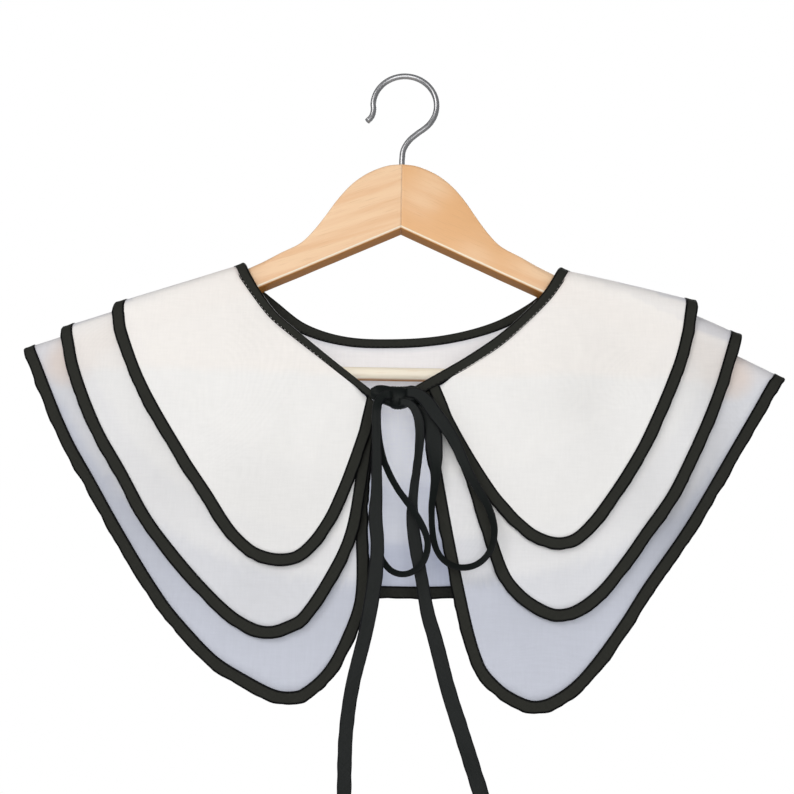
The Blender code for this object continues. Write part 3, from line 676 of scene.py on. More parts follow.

# Sheer cloth: each sheet hides 45 percent of what is behind it, so more sheets look whiter and warmer.
# SHEER_SHADE is painted shade, the bluish grey of shade behind the cloth that shows through the fewest
# sheets.
SHEET_LETS_THROUGH = 0.55
WOOD_SHOWS_THROUGH = 0.62
SHEER_SHADE = (0.31, 0.36, 0.53)
SHEER_FULL = (0.94, 0.915, 0.895)
WOOD_TINT = (0.90, 0.62, 0.42)
HANGER_FOOT_Z = -0.217
tree, given, result = new_group(
    "sheer_tone",
    (
        ("Place", "Vector", None), ("Sheets", "Float", 1.0), ("Wood", "Float", 0.0),
        ("Darkness", "Float", 0.0), ("Slubs", "Float", 0.5), ("Inside", "Float", 0.0),
    ),
    (("Color", "Color"), ("Glow", "Color")),
)
hidden = math(tree, "SUBTRACT", 1.0, math(tree, "POWER", SHEET_LETS_THROUGH, given["Sheets"]))
tone = blend_colours(tree, hidden, SHEER_SHADE, SHEER_FULL)
wood_share = math(
    tree, "MULTIPLY", from_range(tree, given["Wood"], 0.25, 0.95, 0.0, 0.9),
    math(tree, "POWER", WOOD_SHOWS_THROUGH, given["Sheets"]),
)
tone = blend_colours(tree, wood_share, tone, WOOD_TINT)
drift = noise_value(tree, given["Place"], 26.0, Detail=3.0)
level = math(tree, "MULTIPLY_ADD", drift, 0.012, split_axes(tree, given["Place"])["Z"])
warm = from_range(tree, level, HANGER_FOOT_Z + 0.002, HANGER_FOOT_Z + 0.012)
warmer = blend_colours(tree, warm, (0.975, 0.985, 0.985), (1.0, 0.985, 0.965))
tone = blend_colours(tree, 1.0, tone, warmer, "MULTIPLY")
# Two layers of fine weave shimmer in wandering lines where they nearly match.
swirl = noise_value(tree, given["Place"], 9.0, Detail=1.5, Distortion=0.6)
lines = math(tree, "SINE", math(tree, "MULTIPLY", swirl, 330.0))
patches = noise_value(tree, given["Place"], 15.0, Detail=0.0)
where = from_range(tree, patches, 0.5, 0.66)
shimmer = math(tree, "MULTIPLY", lines, math(tree, "MULTIPLY", where, 0.008))
cloud = math(tree, "MULTIPLY_ADD", drift, 0.05, 0.975)
slubbed = math(tree, "MULTIPLY_ADD", given["Slubs"], 0.13, 0.935)
shade = math(tree, "MULTIPLY", math(tree, "ADD", cloud, shimmer), slubbed)
# Painted shade: the Darkness value darkens the cloth where the shade patches and the tier edges lie.
shade = math(tree, "MULTIPLY", shade, math(tree, "SUBTRACT", 1.0, given["Darkness"]))
shade_colour = add_node(tree, "ShaderNodeCombineColor", {"Red": shade, "Green": shade, "Blue": shade})
tone = blend_colours(tree, 1.0, tone, shade_colour.outputs[0], "MULTIPLY")
put(result["Color"], tone)
# Painted light: the inner side of the sheets glows, standing in for the daylight that comes through them,
# most where the fewest lie.
daylight = blend_colours(tree, 1.0, tone, (0.205, 0.222, 0.262), "MULTIPLY")
put(result["Glow"], blend_colours(tree, given["Inside"], (0.0, 0.0, 0.0), daylight))

# Columns: z, share of the daylight
INNER_LIGHT = ((-0.150, 0.25), (-0.200, 0.35), (-0.245, 1.0), (-0.300, 0.88), (-0.335, 0.66), (-0.450, 0.66))
ORGANZA_THREADS = 1450.0


def inner_light(z):
    """Share of the daylight that reaches the inner side at a height."""
    for (top_z, top_share), (low_z, low_share) in zip(INNER_LIGHT, INNER_LIGHT[1:]):
        if low_z <= z < top_z:
            return top_share + (low_share - top_share) * (top_z - z) / (top_z - low_z)
    return INNER_LIGHT[0][1]


# The three tiers are the same white organza: tier_2's and tier_3's greyer previews are painted shade showing
# through fewer sheets.
# Columns: tier, slot, preview, roughness
ORGANZA_FINISH = (
    ("tier_1", "organza_warm_white", (0.88, 0.86, 0.82), 0.62),
    ("tier_2", "organza_white", (0.78, 0.77, 0.79), 0.60),
    ("tier_3", "organza_cool_white", (0.58, 0.60, 0.66), 0.58),
)
for tier, slot_name, preview, roughness in ORGANZA_FINISH:
    organza, tree, shader = new_material(
        slot_name, preview, Roughness=roughness, Sheen_Weight=0.12, Sheen_Roughness=0.35,
        Specular_IOR_Level=0.3, Emission_Strength=1.0,
    )
    place = object_place(tree)
    weave = use_group(tree, "plain_weave", Place=place, Threads=ORGANZA_THREADS, Slub=0.5)
    cloth = use_group(
        tree, "sheer_tone", Place=place, Sheets=surface_value(tree, "sheets"),
        Wood=surface_value(tree, "wood"), Darkness=surface_value(tree, "painted_shade"), Slubs=weave["Slubs"],
        Inside=surface_value(tree, "inside"),
    )
    put(shader.inputs["Base Color"], cloth["Color"])
    put(shader.inputs["Emission Color"], cloth["Glow"])
    height = math(tree, "ADD", math(tree, "MULTIPLY", weave["Height"], 0.25), weave["Slubs"])
    add_bump(tree, shader, height, 0.00012, 0.5)

    columns = sheet_points(tier)
    across, down = len(columns), ROWS_DOWN + 1
    outer_side, inner_side, lit_inside = [], [], []
    seen = {outer: {"sheets": [], "wood": [], "painted_shade": []} for outer in (True, False)}
    for i, column in enumerate(columns):
        angle = tier_edges[tier][i][1]
        for row, place in enumerate(column):
            along = columns[min(i + 1, across - 1)][row] - columns[max(i - 1, 0)][row]
            below = column[min(row + 1, down - 1)] - column[max(row - 1, 0)]
            face = along.cross(below).normalized() * (ORGANZA_WALL / 2)
            outer_side.append(place + face)
            inner_side.append(place - face)
            lit_inside.append(inner_light(place.z))
            for outer, values in seen.items():
                behind, wood = seen_through(tier, place, angle, outer)
                values["sheets"].append(1.0 + behind)
                values["wood"].append(wood)
                values["painted_shade"].append(painted_shade(tier, place, angle) if outer else 0.0)
    faces = []
    skin = across * down
    for i in range(across - 1):
        for row in range(ROWS_DOWN):
            a = i * down + row
            faces.append((a, a + down, a + down + 1, a + 1))
            faces.append((a + skin, a + 1 + skin, a + down + 1 + skin, a + down + skin))
    rim = list(range(down))
    rim += [i * down + ROWS_DOWN for i in range(1, across)]
    rim += [(across - 1) * down + row for row in range(ROWS_DOWN - 1, -1, -1)]
    rim += [i * down for i in range(across - 2, 0, -1)]
    for a, b in zip(rim, rim[1:] + rim[:1]):
        faces.append((a, b, b + skin, a + skin))
    values = {key: seen[True][key] + seen[False][key] for key in seen[True]}
    values["inside"] = [0.0] * skin + lit_inside
    new_piece(
        tier + "_panel_cloth", outer_side + inner_side, faces, organza, tier + "_panel", slot_name, values
    )

# Edge bindings: one black bias strip folded over the free edge of each tier. Its fold is the outer
# edge, and its inner edges are turned under and topstitched, which leaves two fine ridges.
BINDING_THICK = 0.0014
# Half of its section, from the outer fold to the inner edge. Columns: share of the width, lift
BINDING_SECTION = (
    (0.0, 0.0), (0.035, 0.55), (0.10, 0.92), (0.17, 1.06), (0.25, 0.90), (0.45, 0.78),
    (0.66, 0.84), (0.78, 1.0), (0.87, 0.78), (0.93, 1.08), (0.985, 0.80), (1.0, 0.2),
)
KINK = 0.00045
KINKS_PER_METRE = 95.0
FINE_KINKS_PER_METRE = 210.0
FINE_KINK_SHARE = 0.7
LOWEST_TIER_KINK = 1.5
END_TUCK = 0.0018
STITCH_PITCH = 0.0031
STITCH_LENGTH = 0.0022
STITCH_THICK = 0.00042
# A stitch's middle lies this share of the strip's thickness out from its middle surface.
STITCH_SEAT = 0.44
STITCHED_AT = 0.87

tape, tree, shader = new_material("black_bias_tape", (0.012, 0.013, 0.012), Specular_IOR_Level=0.07)
place = object_place(tree)
weave = use_group(tree, "plain_weave", Place=place, Threads=1300.0, Slub=0.5, Turn=radians(45))
from_middle = math(tree, "ABSOLUTE", math(tree, "SUBTRACT", surface_value(tree, "across"), 0.5))
# Painted shade: the strip is darker towards both edges, where it turns away from the light; it is also
# glossier there.
at_edge = from_range(tree, from_middle, 0.31, 0.40)
middle_tone = blend_colours(tree, weave["Slubs"], (0.018, 0.0185, 0.0155), (0.031, 0.0315, 0.0265))
put(shader.inputs["Base Color"], blend_colours(tree, at_edge, middle_tone, (0.0012, 0.0014, 0.0016)))
put(shader.inputs["Roughness"], math(tree, "MULTIPLY_ADD", at_edge, -0.22, 0.62))
height = math(tree, "ADD", math(tree, "MULTIPLY", weave["Height"], 0.3), weave["Slubs"])
add_bump(tree, shader, height, 0.0002, 0.6)

thread, tree, shader = new_material(
    "black_sewing_thread", (0.01, 0.01, 0.011), Roughness=0.6, Specular_IOR_Level=0.08
)
twist = noise_value(tree, object_place(tree), 1800.0)
put(shader.inputs["Base Color"], blend_colours(tree, twist, (0.002, 0.0022, 0.0025), (0.007, 0.0072, 0.008)))


def ring_faces(rings, around):
    """Faces of a closed body through rings of equal count, with a flat face on each end."""
    faces = [tuple(range(around))]
    for i in range(rings - 1):
        for k in range(around):
            a, b = i * around + k, i * around + (k + 1) % around
            faces.append((a, a + around, b + around, b))
    last = (rings - 1) * around
    faces.append(tuple(range(last + around - 1, last - 1, -1)))
    return faces


def strip_mesh(outer, inner, thick, section, kinks=None):
    """A folded strip between two edges: its points, faces and values for the material."""
    ring = list(section) + [(share, -lift) for share, lift in section[::-1] if share > 0.0]
    verts, across_values = [], []
    for i, (edge, inside) in enumerate(zip(outer, inner)):
        after, before = outer[min(i + 1, len(outer) - 1)], outer[max(i - 1, 0)]
        width = inside - edge
        face = (after - before).cross(width).normalized() * (thick / 2)
        edge = edge - width.normalized() * (kinks[i] if kinks else 0.0)
        width = inside - edge
        for share, lift in ring:
            verts.append(edge + width * share + face * lift)
            across_values.append(share)
    return verts, ring_faces(len(outer), len(ring)), {"across": across_values}


def stitches(runs):
    """Raised stitches along each run of (places, outward directions): points and faces of one mesh."""
    points, faces = [], []
    for places, directions in runs:
        travelled, due = 0.0, STITCH_PITCH
        for i in range(1, len(places)):
            step = places[i] - places[i - 1]
            while travelled + step.length > due:
                middle = places[i - 1] + step * ((due - travelled) / step.length)
                along = step.normalized()
                up = directions[i].normalized()
                side = along.cross(up).normalized()
                first = len(points)
                points.append(middle - along * STITCH_LENGTH / 2)
                for reach in (-0.3, 0.3):
                    centre = middle + along * (reach * STITCH_LENGTH)
                    for out, off in ((1, 0), (0, 1), (-1, 0), (0, -1)):
                        points.append(centre + (up * out + side * off) * (STITCH_THICK / 2))
                points.append(middle + along * STITCH_LENGTH / 2)
                for k in range(4):
                    n = (k + 1) % 4
                    faces.append((first, first + 1 + n, first + 1 + k))
                    faces.append((first + 1 + k, first + 1 + n, first + 5 + n, first + 5 + k))
                    faces.append((first + 9, first + 5 + k, first + 5 + n))
                due += STITCH_PITCH
            travelled += step.length
    return points, faces


def stitched_line(outer, inner, thick, share):
    """Both faces' stitching line of a strip, a share of its width from the outer edge."""
    runs = []
    for sign in (1, -1):
        places, directions = [], []
        for i in range(len(outer)):
            after, before = outer[min(i + 1, len(outer) - 1)], outer[max(i - 1, 0)]
            face = (after - before).cross(inner[i] - outer[i]).normalized() * sign
            places.append(outer[i].lerp(inner[i], share) + face * (thick * STITCH_SEAT))
            directions.append(face)
        runs.append((places, directions))
    return runs


for tier in TIERS:
    run = tier_edges[tier]
    outer = [in_space(tier, point, angle) for point, angle in run]
    inner = [
        in_space(tier, point + inward(run, i, tier) * BINDING_WIDTH, angle)
        for i, (point, angle) in enumerate(run)
    ]
    for edge in (outer, inner):
        edge.insert(0, edge[0] + (edge[0] - edge[1]).normalized() * END_TUCK)
        edge.append(edge[-1] + (edge[-1] - edge[-2]).normalized() * END_TUCK)
    last = len(outer) - 1
    kinks = []
    for i, place in enumerate(outer):
        near_end = min(1.0, i / 8, (last - i) / 8)
        fine_kink = FINE_KINK_SHARE * noise.noise(place * FINE_KINKS_PER_METRE)
        rough = noise.noise(place * KINKS_PER_METRE) + fine_kink
        kinks.append(KINK * near_end * rough * (LOWEST_TIER_KINK if tier == "tier_3" else 1.0))
    verts, faces, values = strip_mesh(outer, inner, BINDING_THICK, BINDING_SECTION, kinks)
    binding = new_piece(
        tier + "_binding_tape", verts, faces, tape, tier + "_binding", "black_bias_tape", values
    )
    sewing = stitches(stitched_line(outer, inner, BINDING_THICK, STITCHED_AT))
    sewn = new_piece(tier + "_binding_stitches", *sewing, thread, None, "black_bias_tape")

# Neck binding: one strip over the neck edges of all three tiers, from the bow round to the bow, where
# its ends run on as the ties. It is thicker than the others, as it holds three sheets.
NECK_BINDING_THICK = 0.004
NECK_STITCHED_AT = 0.8
# Half of its section, from the neck opening out to the cloth. Columns: share of the width, lift
NECK_SECTION = (
    (0.0, 0.0), (0.04, 0.5), (0.12, 0.86), (0.22, 1.0), (0.36, 0.93), (0.55, 0.88),
    (0.70, 0.95), (0.80, 0.80), (0.88, 0.95), (0.96, 0.70), (1.0, 0.25),
)
neck_inside, neck_outside = [], []
for i, (point, angle) in enumerate(neck_run):
    out = outward(neck_run, i)
    centre = Vector((point.x, NECK_HALF_GAP * sin(radians(angle)), point.y))
    half = Vector((out.x, 0.0, out.y)) * (point[2] / 2)
    neck_inside.append(centre - half)
    neck_outside.append(centre + half)
verts, faces, values = strip_mesh(neck_inside, neck_outside, NECK_BINDING_THICK, NECK_SECTION)
new_piece(
    "neck_binding_tape", verts, faces, tape, "neck_binding", "black_bias_tape", values
)
sewing = stitches(stitched_line(neck_inside, neck_outside, NECK_BINDING_THICK, NECK_STITCHED_AT))
new_piece("neck_binding_stitches", *sewing, thread, None, "black_bias_tape")

# Ties: the neck binding's two free ends, a flat black tape tied in a bow. The loops are folded
# narrower than the tails, and the tails hang free with plain cut ends.
TIE_THICK = 0.0013
TIE_STEP = 0.002
# Turns are made small beside lengths while the route is smoothed, so that they don't bend it.
TURN_WEIGHT = 0.01
TIE_WANDER = 0.14
TIE_WANDER_PER_METRE = 40.0
TIE_EDGE_WEAR = 0.00022
# Half of its section, from one edge to the other. Columns: share of the half width, lift
TIE_SECTION = (
    (-1.0, 0.0), (-0.95, 0.6), (-0.86, 1.0), (-0.72, 0.86), (-0.4, 0.92), (0.0, 1.04),
    (0.4, 0.92), (0.72, 0.86), (0.86, 1.0), (0.95, 0.6), (1.0, 0.0),
)
# Routes. Columns: x, y, z, turn about its own length in degrees, width
LOOP_LEFT = (
    (-0.0054, -0.021, -0.2309, 0, 0.0054),
    (-0.0104, -0.0214, -0.232, 4, 0.0054),
    (-0.0136, -0.0222, -0.2366, 10, 0.0054),
    (-0.0146, -0.0234, -0.2436, 16, 0.0052),
    (-0.0136, -0.0242, -0.256, 26, 0.005),
    (-0.0114, -0.0248, -0.268, 32, 0.0048),
    (-0.0082, -0.0252, -0.2778, 34, 0.0046),
    (-0.0007, -0.0258, -0.292, 34, 0.0046),
    (0.009, -0.0262, -0.305, 34, 0.0046),
    (0.0162, -0.0264, -0.3176, 34, 0.0046),
    (0.0185, -0.0262, -0.326, 34, 0.0046),
    (0.0164, -0.0258, -0.336, 34, 0.0046),
    (0.01, -0.025, -0.3428, 34, 0.0046),
    (0.0026, -0.024, -0.3447, 34, 0.0046),
    (-0.005, -0.0228, -0.3415, 34, 0.0046),
    (-0.0116, -0.0212, -0.331, 30, 0.0046),
    (-0.0146, -0.0194, -0.312, 24, 0.0046),
    (-0.0152, -0.0182, -0.285, 20, 0.0046),
    (-0.0154, -0.017, -0.262, 14, 0.0046),
    (-0.0152, -0.0162, -0.247, 8, 0.0046),
    (-0.0138, -0.0158, -0.2372, 4, 0.0046),
)
LOOP_RIGHT = (
    (0.0036, -0.0212, -0.2294, 0, 0.0056),
    (0.0096, -0.0218, -0.2296, 4, 0.007),
    (0.0156, -0.0226, -0.2338, 6, 0.0086),
    (0.0224, -0.0234, -0.243, 8, 0.0088),
    (0.0294, -0.0238, -0.2524, 10, 0.0082),
    (0.0352, -0.024, -0.2622, 12, 0.0074),
    (0.042, -0.0242, -0.2773, 16, 0.0064),
    (0.0494, -0.0242, -0.2909, 20, 0.0054),
    (0.0551, -0.0242, -0.3004, 26, 0.005),
    (0.0586, -0.024, -0.3092, 30, 0.0048),
    (0.0598, -0.0238, -0.318, 34, 0.0046),
    (0.0576, -0.0234, -0.3284, 34, 0.0046),
    (0.0506, -0.0228, -0.3368, 34, 0.0046),
    (0.041, -0.0222, -0.3398, 34, 0.0046),
    (0.0314, -0.0214, -0.3374, 34, 0.0046),
    (0.0246, -0.0204, -0.33, 36, 0.0046),
    (0.0216, -0.0196, -0.3179, 36, 0.0046),
    (0.021, -0.019, -0.301, 34, 0.0046),
    (0.0232, -0.0186, -0.282, 18, 0.0066),
    (0.0224, -0.0178, -0.264, -6, 0.0104),
    (0.0204, -0.0172, -0.25, -14, 0.0108),
    (0.0172, -0.0166, -0.241, -14, 0.0108),
    (0.013, -0.0149, -0.236, -10, 0.0096),
    (0.011, -0.0135, -0.2336, -6, 0.0082),
)
TAIL_LEFT = (
    (-0.0054, -0.0229, -0.2309, 0, 0.0054),
    (-0.0104, -0.0235, -0.232, 2, 0.0056),
    (-0.0138, -0.0252, -0.2368, 4, 0.0058),
    (-0.0148, -0.0276, -0.244, 6, 0.006),
    (-0.0144, -0.0292, -0.256, 8, 0.006),
    (-0.0139, -0.0304, -0.274, 10, 0.0062),
    (-0.0136, -0.0308, -0.296, 6, 0.0074),
    (-0.014, -0.0306, -0.3097, 4, 0.0086),
    (-0.0124, -0.0298, -0.328, 4, 0.0084),
    (-0.0133, -0.029, -0.3455, 2, 0.0092),
    (-0.015, -0.028, -0.3594, 2, 0.0092),
    (-0.0184, -0.027, -0.3797, 0, 0.0088),
    (-0.0258, -0.0256, -0.4125, -4, 0.0086),
    (-0.029, -0.0244, -0.44, -2, 0.0086),
    (-0.0292, -0.0238, -0.472, 0, 0.0086),
    (-0.0286, -0.0234, -0.491, 0, 0.0086),
)
TAIL_RIGHT = (
    (-0.0006, -0.0209, -0.2354, 0, 0.0048),
    (0.0044, -0.021, -0.2358, 2, 0.0048),
    (0.009, -0.0206, -0.2394, 4, 0.0054),
    (0.0122, -0.0196, -0.2468, 6, 0.0062),
    (0.013, -0.018, -0.256, 8, 0.0062),
    (0.012, -0.0156, -0.271, 12, 0.0056),
    (0.0093, -0.0134, -0.2949, 12, 0.0062),
    (0.0091, -0.013, -0.3093, 10, 0.0078),
    (0.0115, -0.013, -0.3272, 6, 0.0084),
    (0.0152, -0.0132, -0.346, 2, 0.008),
    (0.0194, -0.0134, -0.368, 0, 0.0088),
    (0.024, -0.0138, -0.383, 0, 0.0092),
    (0.0322, -0.0144, -0.413, 0, 0.0094),
    (0.0418, -0.015, -0.442, 4, 0.0096),
    (0.0504, -0.0154, -0.468, 2, 0.0096),
    (0.058, -0.0156, -0.4905, 0, 0.0096),
)

tie_tape, tree, shader = new_material("black_tie_tape", (0.010, 0.013, 0.014), Specular_IOR_Level=0.15)
place = object_place(tree)
weave = use_group(tree, "plain_weave", Place=place, Threads=1300.0, Slub=0.5, Turn=radians(45))
from_middle = math(tree, "ABSOLUTE", surface_value(tree, "across"))
at_edge = from_range(tree, from_middle, 0.62, 0.9)
middle_tone = blend_colours(tree, weave["Slubs"], (0.0018, 0.0036, 0.0034), (0.006, 0.0082, 0.0075))
put(shader.inputs["Base Color"], blend_colours(tree, at_edge, middle_tone, (0.0025, 0.0032, 0.0042)))
put(shader.inputs["Roughness"], math(tree, "MULTIPLY_ADD", weave["Slubs"], 0.2, 0.36))
add_bump(tree, shader, weave["Slubs"], 0.0003, 0.6)


def place_on_route(rows):
    """The route's rows as smooth positions at even steps, with turn and width between rows."""
    fine = smooth_line([(x, y, z, radians(turn) * TURN_WEIGHT, width) for x, y, z, turn, width in rows], 10)
    length = sum((Vector(b[0:3]) - Vector(a[0:3])).length for a, b in zip(fine, fine[1:]))
    return spaced(fine, round(length / TIE_STEP) + 1)


def build_tie(node, rows):
    line = place_on_route(rows)
    path = [Vector(point[0:3]) for point in line]
    section = list(TIE_SECTION) + [(share, -lift) for share, lift in TIE_SECTION[-2:0:-1]]
    verts, across_values, travelled = [], [], 0.0
    for i, point in enumerate(line):
        before, after = path[max(i - 1, 0)], path[min(i + 1, len(line) - 1)]
        along = (after - before).normalized()
        flat = along.cross(Vector((0, -1, 0))).normalized()
        wander = TIE_WANDER * noise.noise(path[i] * TIE_WANDER_PER_METRE)
        flat = Matrix.Rotation(point[3] / TURN_WEIGHT + wander, 3, along) @ flat
        up = flat.cross(along).normalized()
        travelled += (path[i] - path[i - 1]).length if i else 0.0
        half = point[4] / 2
        for share, lift in section:
            wear = TIE_EDGE_WEAR * noise.noise(Vector((travelled * 160.0, share * 3.0, 2.0)))
            out = half * share + wear * abs(share)
            verts.append(path[i] + flat * out + up * (lift * TIE_THICK / 2))
            across_values.append(share)
    piece = new_piece(
        node + "_tape", verts, ring_faces(len(line), len(section)), tie_tape, node, "black_tie_tape",
        {"across": across_values},
    )


build_tie("bow_loop_left", LOOP_LEFT)
build_tie("bow_loop_right", LOOP_RIGHT)
build_tie("tie_tail_left", TAIL_LEFT)
build_tie("tie_tail_right", TAIL_RIGHT)

# Knot: the same tape pulled tight round itself, with soft ridges where its layers lie together and a
# band across the middle that holds the loops.
# Columns: x, y, z, half_depth, half_height
KNOT = (
    (-0.0189, -0.0166, -0.229, 0.002, 0.003),
    (-0.0155, -0.017, -0.2294, 0.0029, 0.005),
    (-0.0106, -0.0156, -0.2299, 0.0044, 0.0059),
    (-0.006, -0.015, -0.2311, 0.0049, 0.0067),
    (-0.001, -0.015, -0.2316, 0.0051, 0.0068),
    (0.004, -0.0152, -0.231, 0.0048, 0.0067),
    (0.0072, -0.017, -0.2298, 0.0028, 0.006),
    (0.0108, -0.017, -0.2296, 0.0022, 0.0052),
    (0.013, -0.0172, -0.2304, 0.0015, 0.0034),
)
KNOT_AROUND = 32
BAND_MIDDLE_X = -0.0015
BAND_HALF_WIDTH = 0.0042
# Heights as shares of the knot's own half size.
KNOT_RIDGE = 0.07
KNOT_FINE_RIDGE = 0.035
BAND_SWELL = 0.1
BAND_RIB = 0.02
rings = smooth_line(KNOT, 7)
verts, across_values = [], []
for ring in rings:
    x, y, z, half_depth, half_height = ring
    band = exp(-(((x - BAND_MIDDLE_X) / BAND_HALF_WIDTH) ** 6))
    for k in range(KNOT_AROUND):
        t = 2 * pi * k / KNOT_AROUND
        ridge = sin(5 * t + x * 160.0)
        fold = KNOT_RIDGE * ridge + KNOT_FINE_RIDGE * sin(9 * t - x * 240.0)
        size = 1.0 + (1.0 - band) * fold + band * (BAND_SWELL + BAND_RIB * sin(x * 3400.0))
        verts.append((x, y + half_depth * size * cos(t), z + half_height * size * sin(t)))
        across_values.append(0.8 * ridge * (1.0 - band) + band * (x - BAND_MIDDLE_X) / BAND_HALF_WIDTH)
new_piece(
    "bow_knot_tape", verts, ring_faces(len(rings), KNOT_AROUND), tie_tape, "bow_knot", "black_tie_tape",
    {"across": across_values},
)

# Hanger: two arms of pale lacquered wood, mitred together at the head and rounded on top, with a thin
# round bar let into their ends.
# Columns: x, top_z, bottom_z, half_thick, top_edge
ARM = (
    (0.00002, -0.0662, -0.1129, 0.0075, 0.0025),
    (0.0087, -0.0672, -0.117, 0.0075, 0.0025),
    (0.0173, -0.0702, -0.121, 0.0075, 0.0025),
    (0.0259, -0.0749, -0.125, 0.0075, 0.0025),
    (0.0345, -0.0821, -0.129, 0.0075, 0.0025),
    (0.043, -0.0924, -0.133, 0.0075, 0.0025),
    (0.0515, -0.1052, -0.1369, 0.0075, 0.0025),
    (0.059, -0.1156, -0.1404, 0.0075, 0.0025),
    (0.067, -0.124, -0.1442, 0.0075, 0.0025),
    (0.08, -0.1312, -0.1501, 0.0075, 0.0025),
    (0.094, -0.138, -0.1566, 0.0075, 0.006),
    (0.13, -0.1554, -0.1732, 0.0075, 0.006),
    (0.198, -0.1884, -0.2046, 0.0075, 0.006),
    (0.201, -0.1899, -0.22, 0.0075, 0.006),
    (0.206, -0.1923, -0.2216, 0.0075, 0.006),
    (0.217, -0.1986, -0.2216, 0.0075, 0.006),
    (0.2225, -0.204, -0.219, 0.0064, 0.006),
    (0.225, -0.2096, -0.2144, 0.0042, 0.006),
)
HANGER_MIDDLE_X = -0.0013
ARM_BOTTOM_EDGE = 0.0022
BAR_RADIUS = 0.0045
BAR_Z = -0.2123
BAR_END_X = 0.213

tree, given, result = new_group(
    "wood_grain",
    (
        ("Place", "Vector", None), ("Lean", "Float", 0.0), ("Scale", "Float", 1.0), ("Pale", "Float", 0.0),
        ("Deep", "Float", 0.0), ("Under", "Float", 0.0),
    ),
    (("Color", "Color"), ("Height", "Float"), ("Coat", "Float")),
)
leaned = turned_about_y(tree, given["Place"], given["Lean"])
stretched = stretched_by(tree, leaned, (9.0, 60.0, 150.0))
inputs = {0: stretched, "Scale": given["Scale"]}
stretched = add_node(tree, "ShaderNodeVectorMath", inputs, operation="SCALE").outputs[0]
rings_noise = noise_value(tree, stretched, 1.0, Detail=4.0, Distortion=0.4)
pores = noise_value(tree, stretched_by(tree, leaned, (60.0, 900.0, 2200.0)), 1.0, Detail=2.0)
bands = from_range(tree, rings_noise, 0.36, 0.66)
wood_tone = blend_colours(tree, bands, (0.95, 0.665, 0.425), (0.87, 0.545, 0.315))
heart = noise_value(tree, given["Place"], 13.0, Detail=1.0)
from_head = math(tree, "ABSOLUTE", split_axes(tree, given["Place"])["X"])
near_head = from_range(tree, from_head, 0.055, 0.095, 1.0, 0.1)
heart_share = math(tree, "MULTIPLY", from_range(tree, heart, 0.25, 0.5), given["Deep"])
heart_share = math(tree, "MULTIPLY", heart_share, near_head)
wood_tone = blend_colours(tree, heart_share, wood_tone, (0.84, 0.475, 0.225))
wood_tone = blend_colours(tree, given["Pale"], wood_tone, (1.0, 0.92, 0.76))
pore_share = math(tree, "MULTIPLY", from_range(tree, pores, 0.56, 0.74), 0.35)
wood_tone = blend_colours(tree, pore_share, wood_tone, (0.66, 0.38, 0.19))
# Below zero the value marks a painted highlight along the lower front edge, above zero painted shade on the
# underside.
under = math(tree, "MAXIMUM", given["Under"], 0.0)
painted_highlight = math(tree, "MAXIMUM", math(tree, "MULTIPLY", given["Under"], -1.0), 0.0)
wood_tone = blend_colours(tree, under, wood_tone, (0.47, 0.19, 0.035))
wood_tone = blend_colours(tree, painted_highlight, wood_tone, (1.0, 0.90, 0.72))
put(result["Coat"], math(tree, "MULTIPLY", math(tree, "SUBTRACT", 1.0, under), 0.25))
put(result["Color"], wood_tone)
put(result["Height"], math(tree, "SUBTRACT", 1.0, pore_share))


def wood_material(name, lean, scale, pale, deep):
    made, tree, shader = new_material(name, (0.85, 0.58, 0.34), Coat_Roughness=0.22, Specular_IOR_Level=0.35)
    grain = use_group(
        tree, "wood_grain", Place=object_place(tree), Lean=lean, Scale=scale, Pale=pale, Deep=deep,
        Under=surface_value(tree, "under"),
    )
    put(shader.inputs["Base Color"], grain["Color"])
    put(shader.inputs["Coat Weight"], grain["Coat"])
    put(shader.inputs["Roughness"], math(tree, "MULTIPLY_ADD", grain["Height"], -0.1, 0.56))
    add_bump(tree, shader, grain["Height"], 0.00015, 0.4)
    return made


def arm_section(x, top, bottom, half, top_edge):
    """Ring across the arm, with eased edges, rounder on top where the cloth hangs."""
    room = min((top - bottom) / 2, half) - 0.0003
    upper, lower = min(top_edge, room), min(ARM_BOTTOM_EDGE, room)
    corners = (
        (half - upper, top - upper, upper, 0), (upper - half, top - upper, upper, 90),
        (lower - half, bottom + lower, lower, 180), (half - lower, bottom + lower, lower, 270),
    )
    return [
        Vector((x, y + radius * cos(radians(start + step)), z + radius * sin(radians(start + step))))
        for y, z, radius, start in corners
        for step in range(0, 91, 15)
    ]


# Points of an arm's ring, counted from its upper back edge over the top and down the front.
# Ring points with a painted highlight on the lower front edge, and with painted shade on the underside.
HIGHLIGHT_POINTS = range(15, 17)
UNDERSIDE_POINTS = range(18, 26)
HIGHLIGHT_SHARE = 0.9
for hand, side, lean, deep in (("left", -1, radians(20), 0.1), ("right", 1, radians(-24), 1.0)):
    rings = [arm_section(HANGER_MIDDLE_X + side * row[0], *row[1:]) for row in smooth_line(ARM, 8)]
    if side < 0:
        rings.reverse()
    verts = [point for ring in rings for point in ring]
    around = len(rings[0])
    under = [float(k in UNDERSIDE_POINTS) - HIGHLIGHT_SHARE * (k in HIGHLIGHT_POINTS) for k in range(around)]
    new_piece(
        "hanger_arm_" + hand + "_wood", verts, ring_faces(len(rings), around),
        wood_material("pale_wood_" + hand, lean, 1.0, 0.0, deep), "hanger_arm_" + hand, "pale_hanger_wood",
        {"under": under * len(rings)},
    )

BAR_SIDES = 40
BAR_STATIONS = 25
bar_turns = [2 * pi * k / BAR_SIDES for k in range(BAR_SIDES)]
verts = [
    (HANGER_MIDDLE_X + x, BAR_RADIUS * cos(t), BAR_Z + BAR_RADIUS * sin(t))
    for x in [BAR_END_X * (i / (BAR_STATIONS - 1) * 2 - 1) for i in range(BAR_STATIONS)]
    for t in bar_turns
]
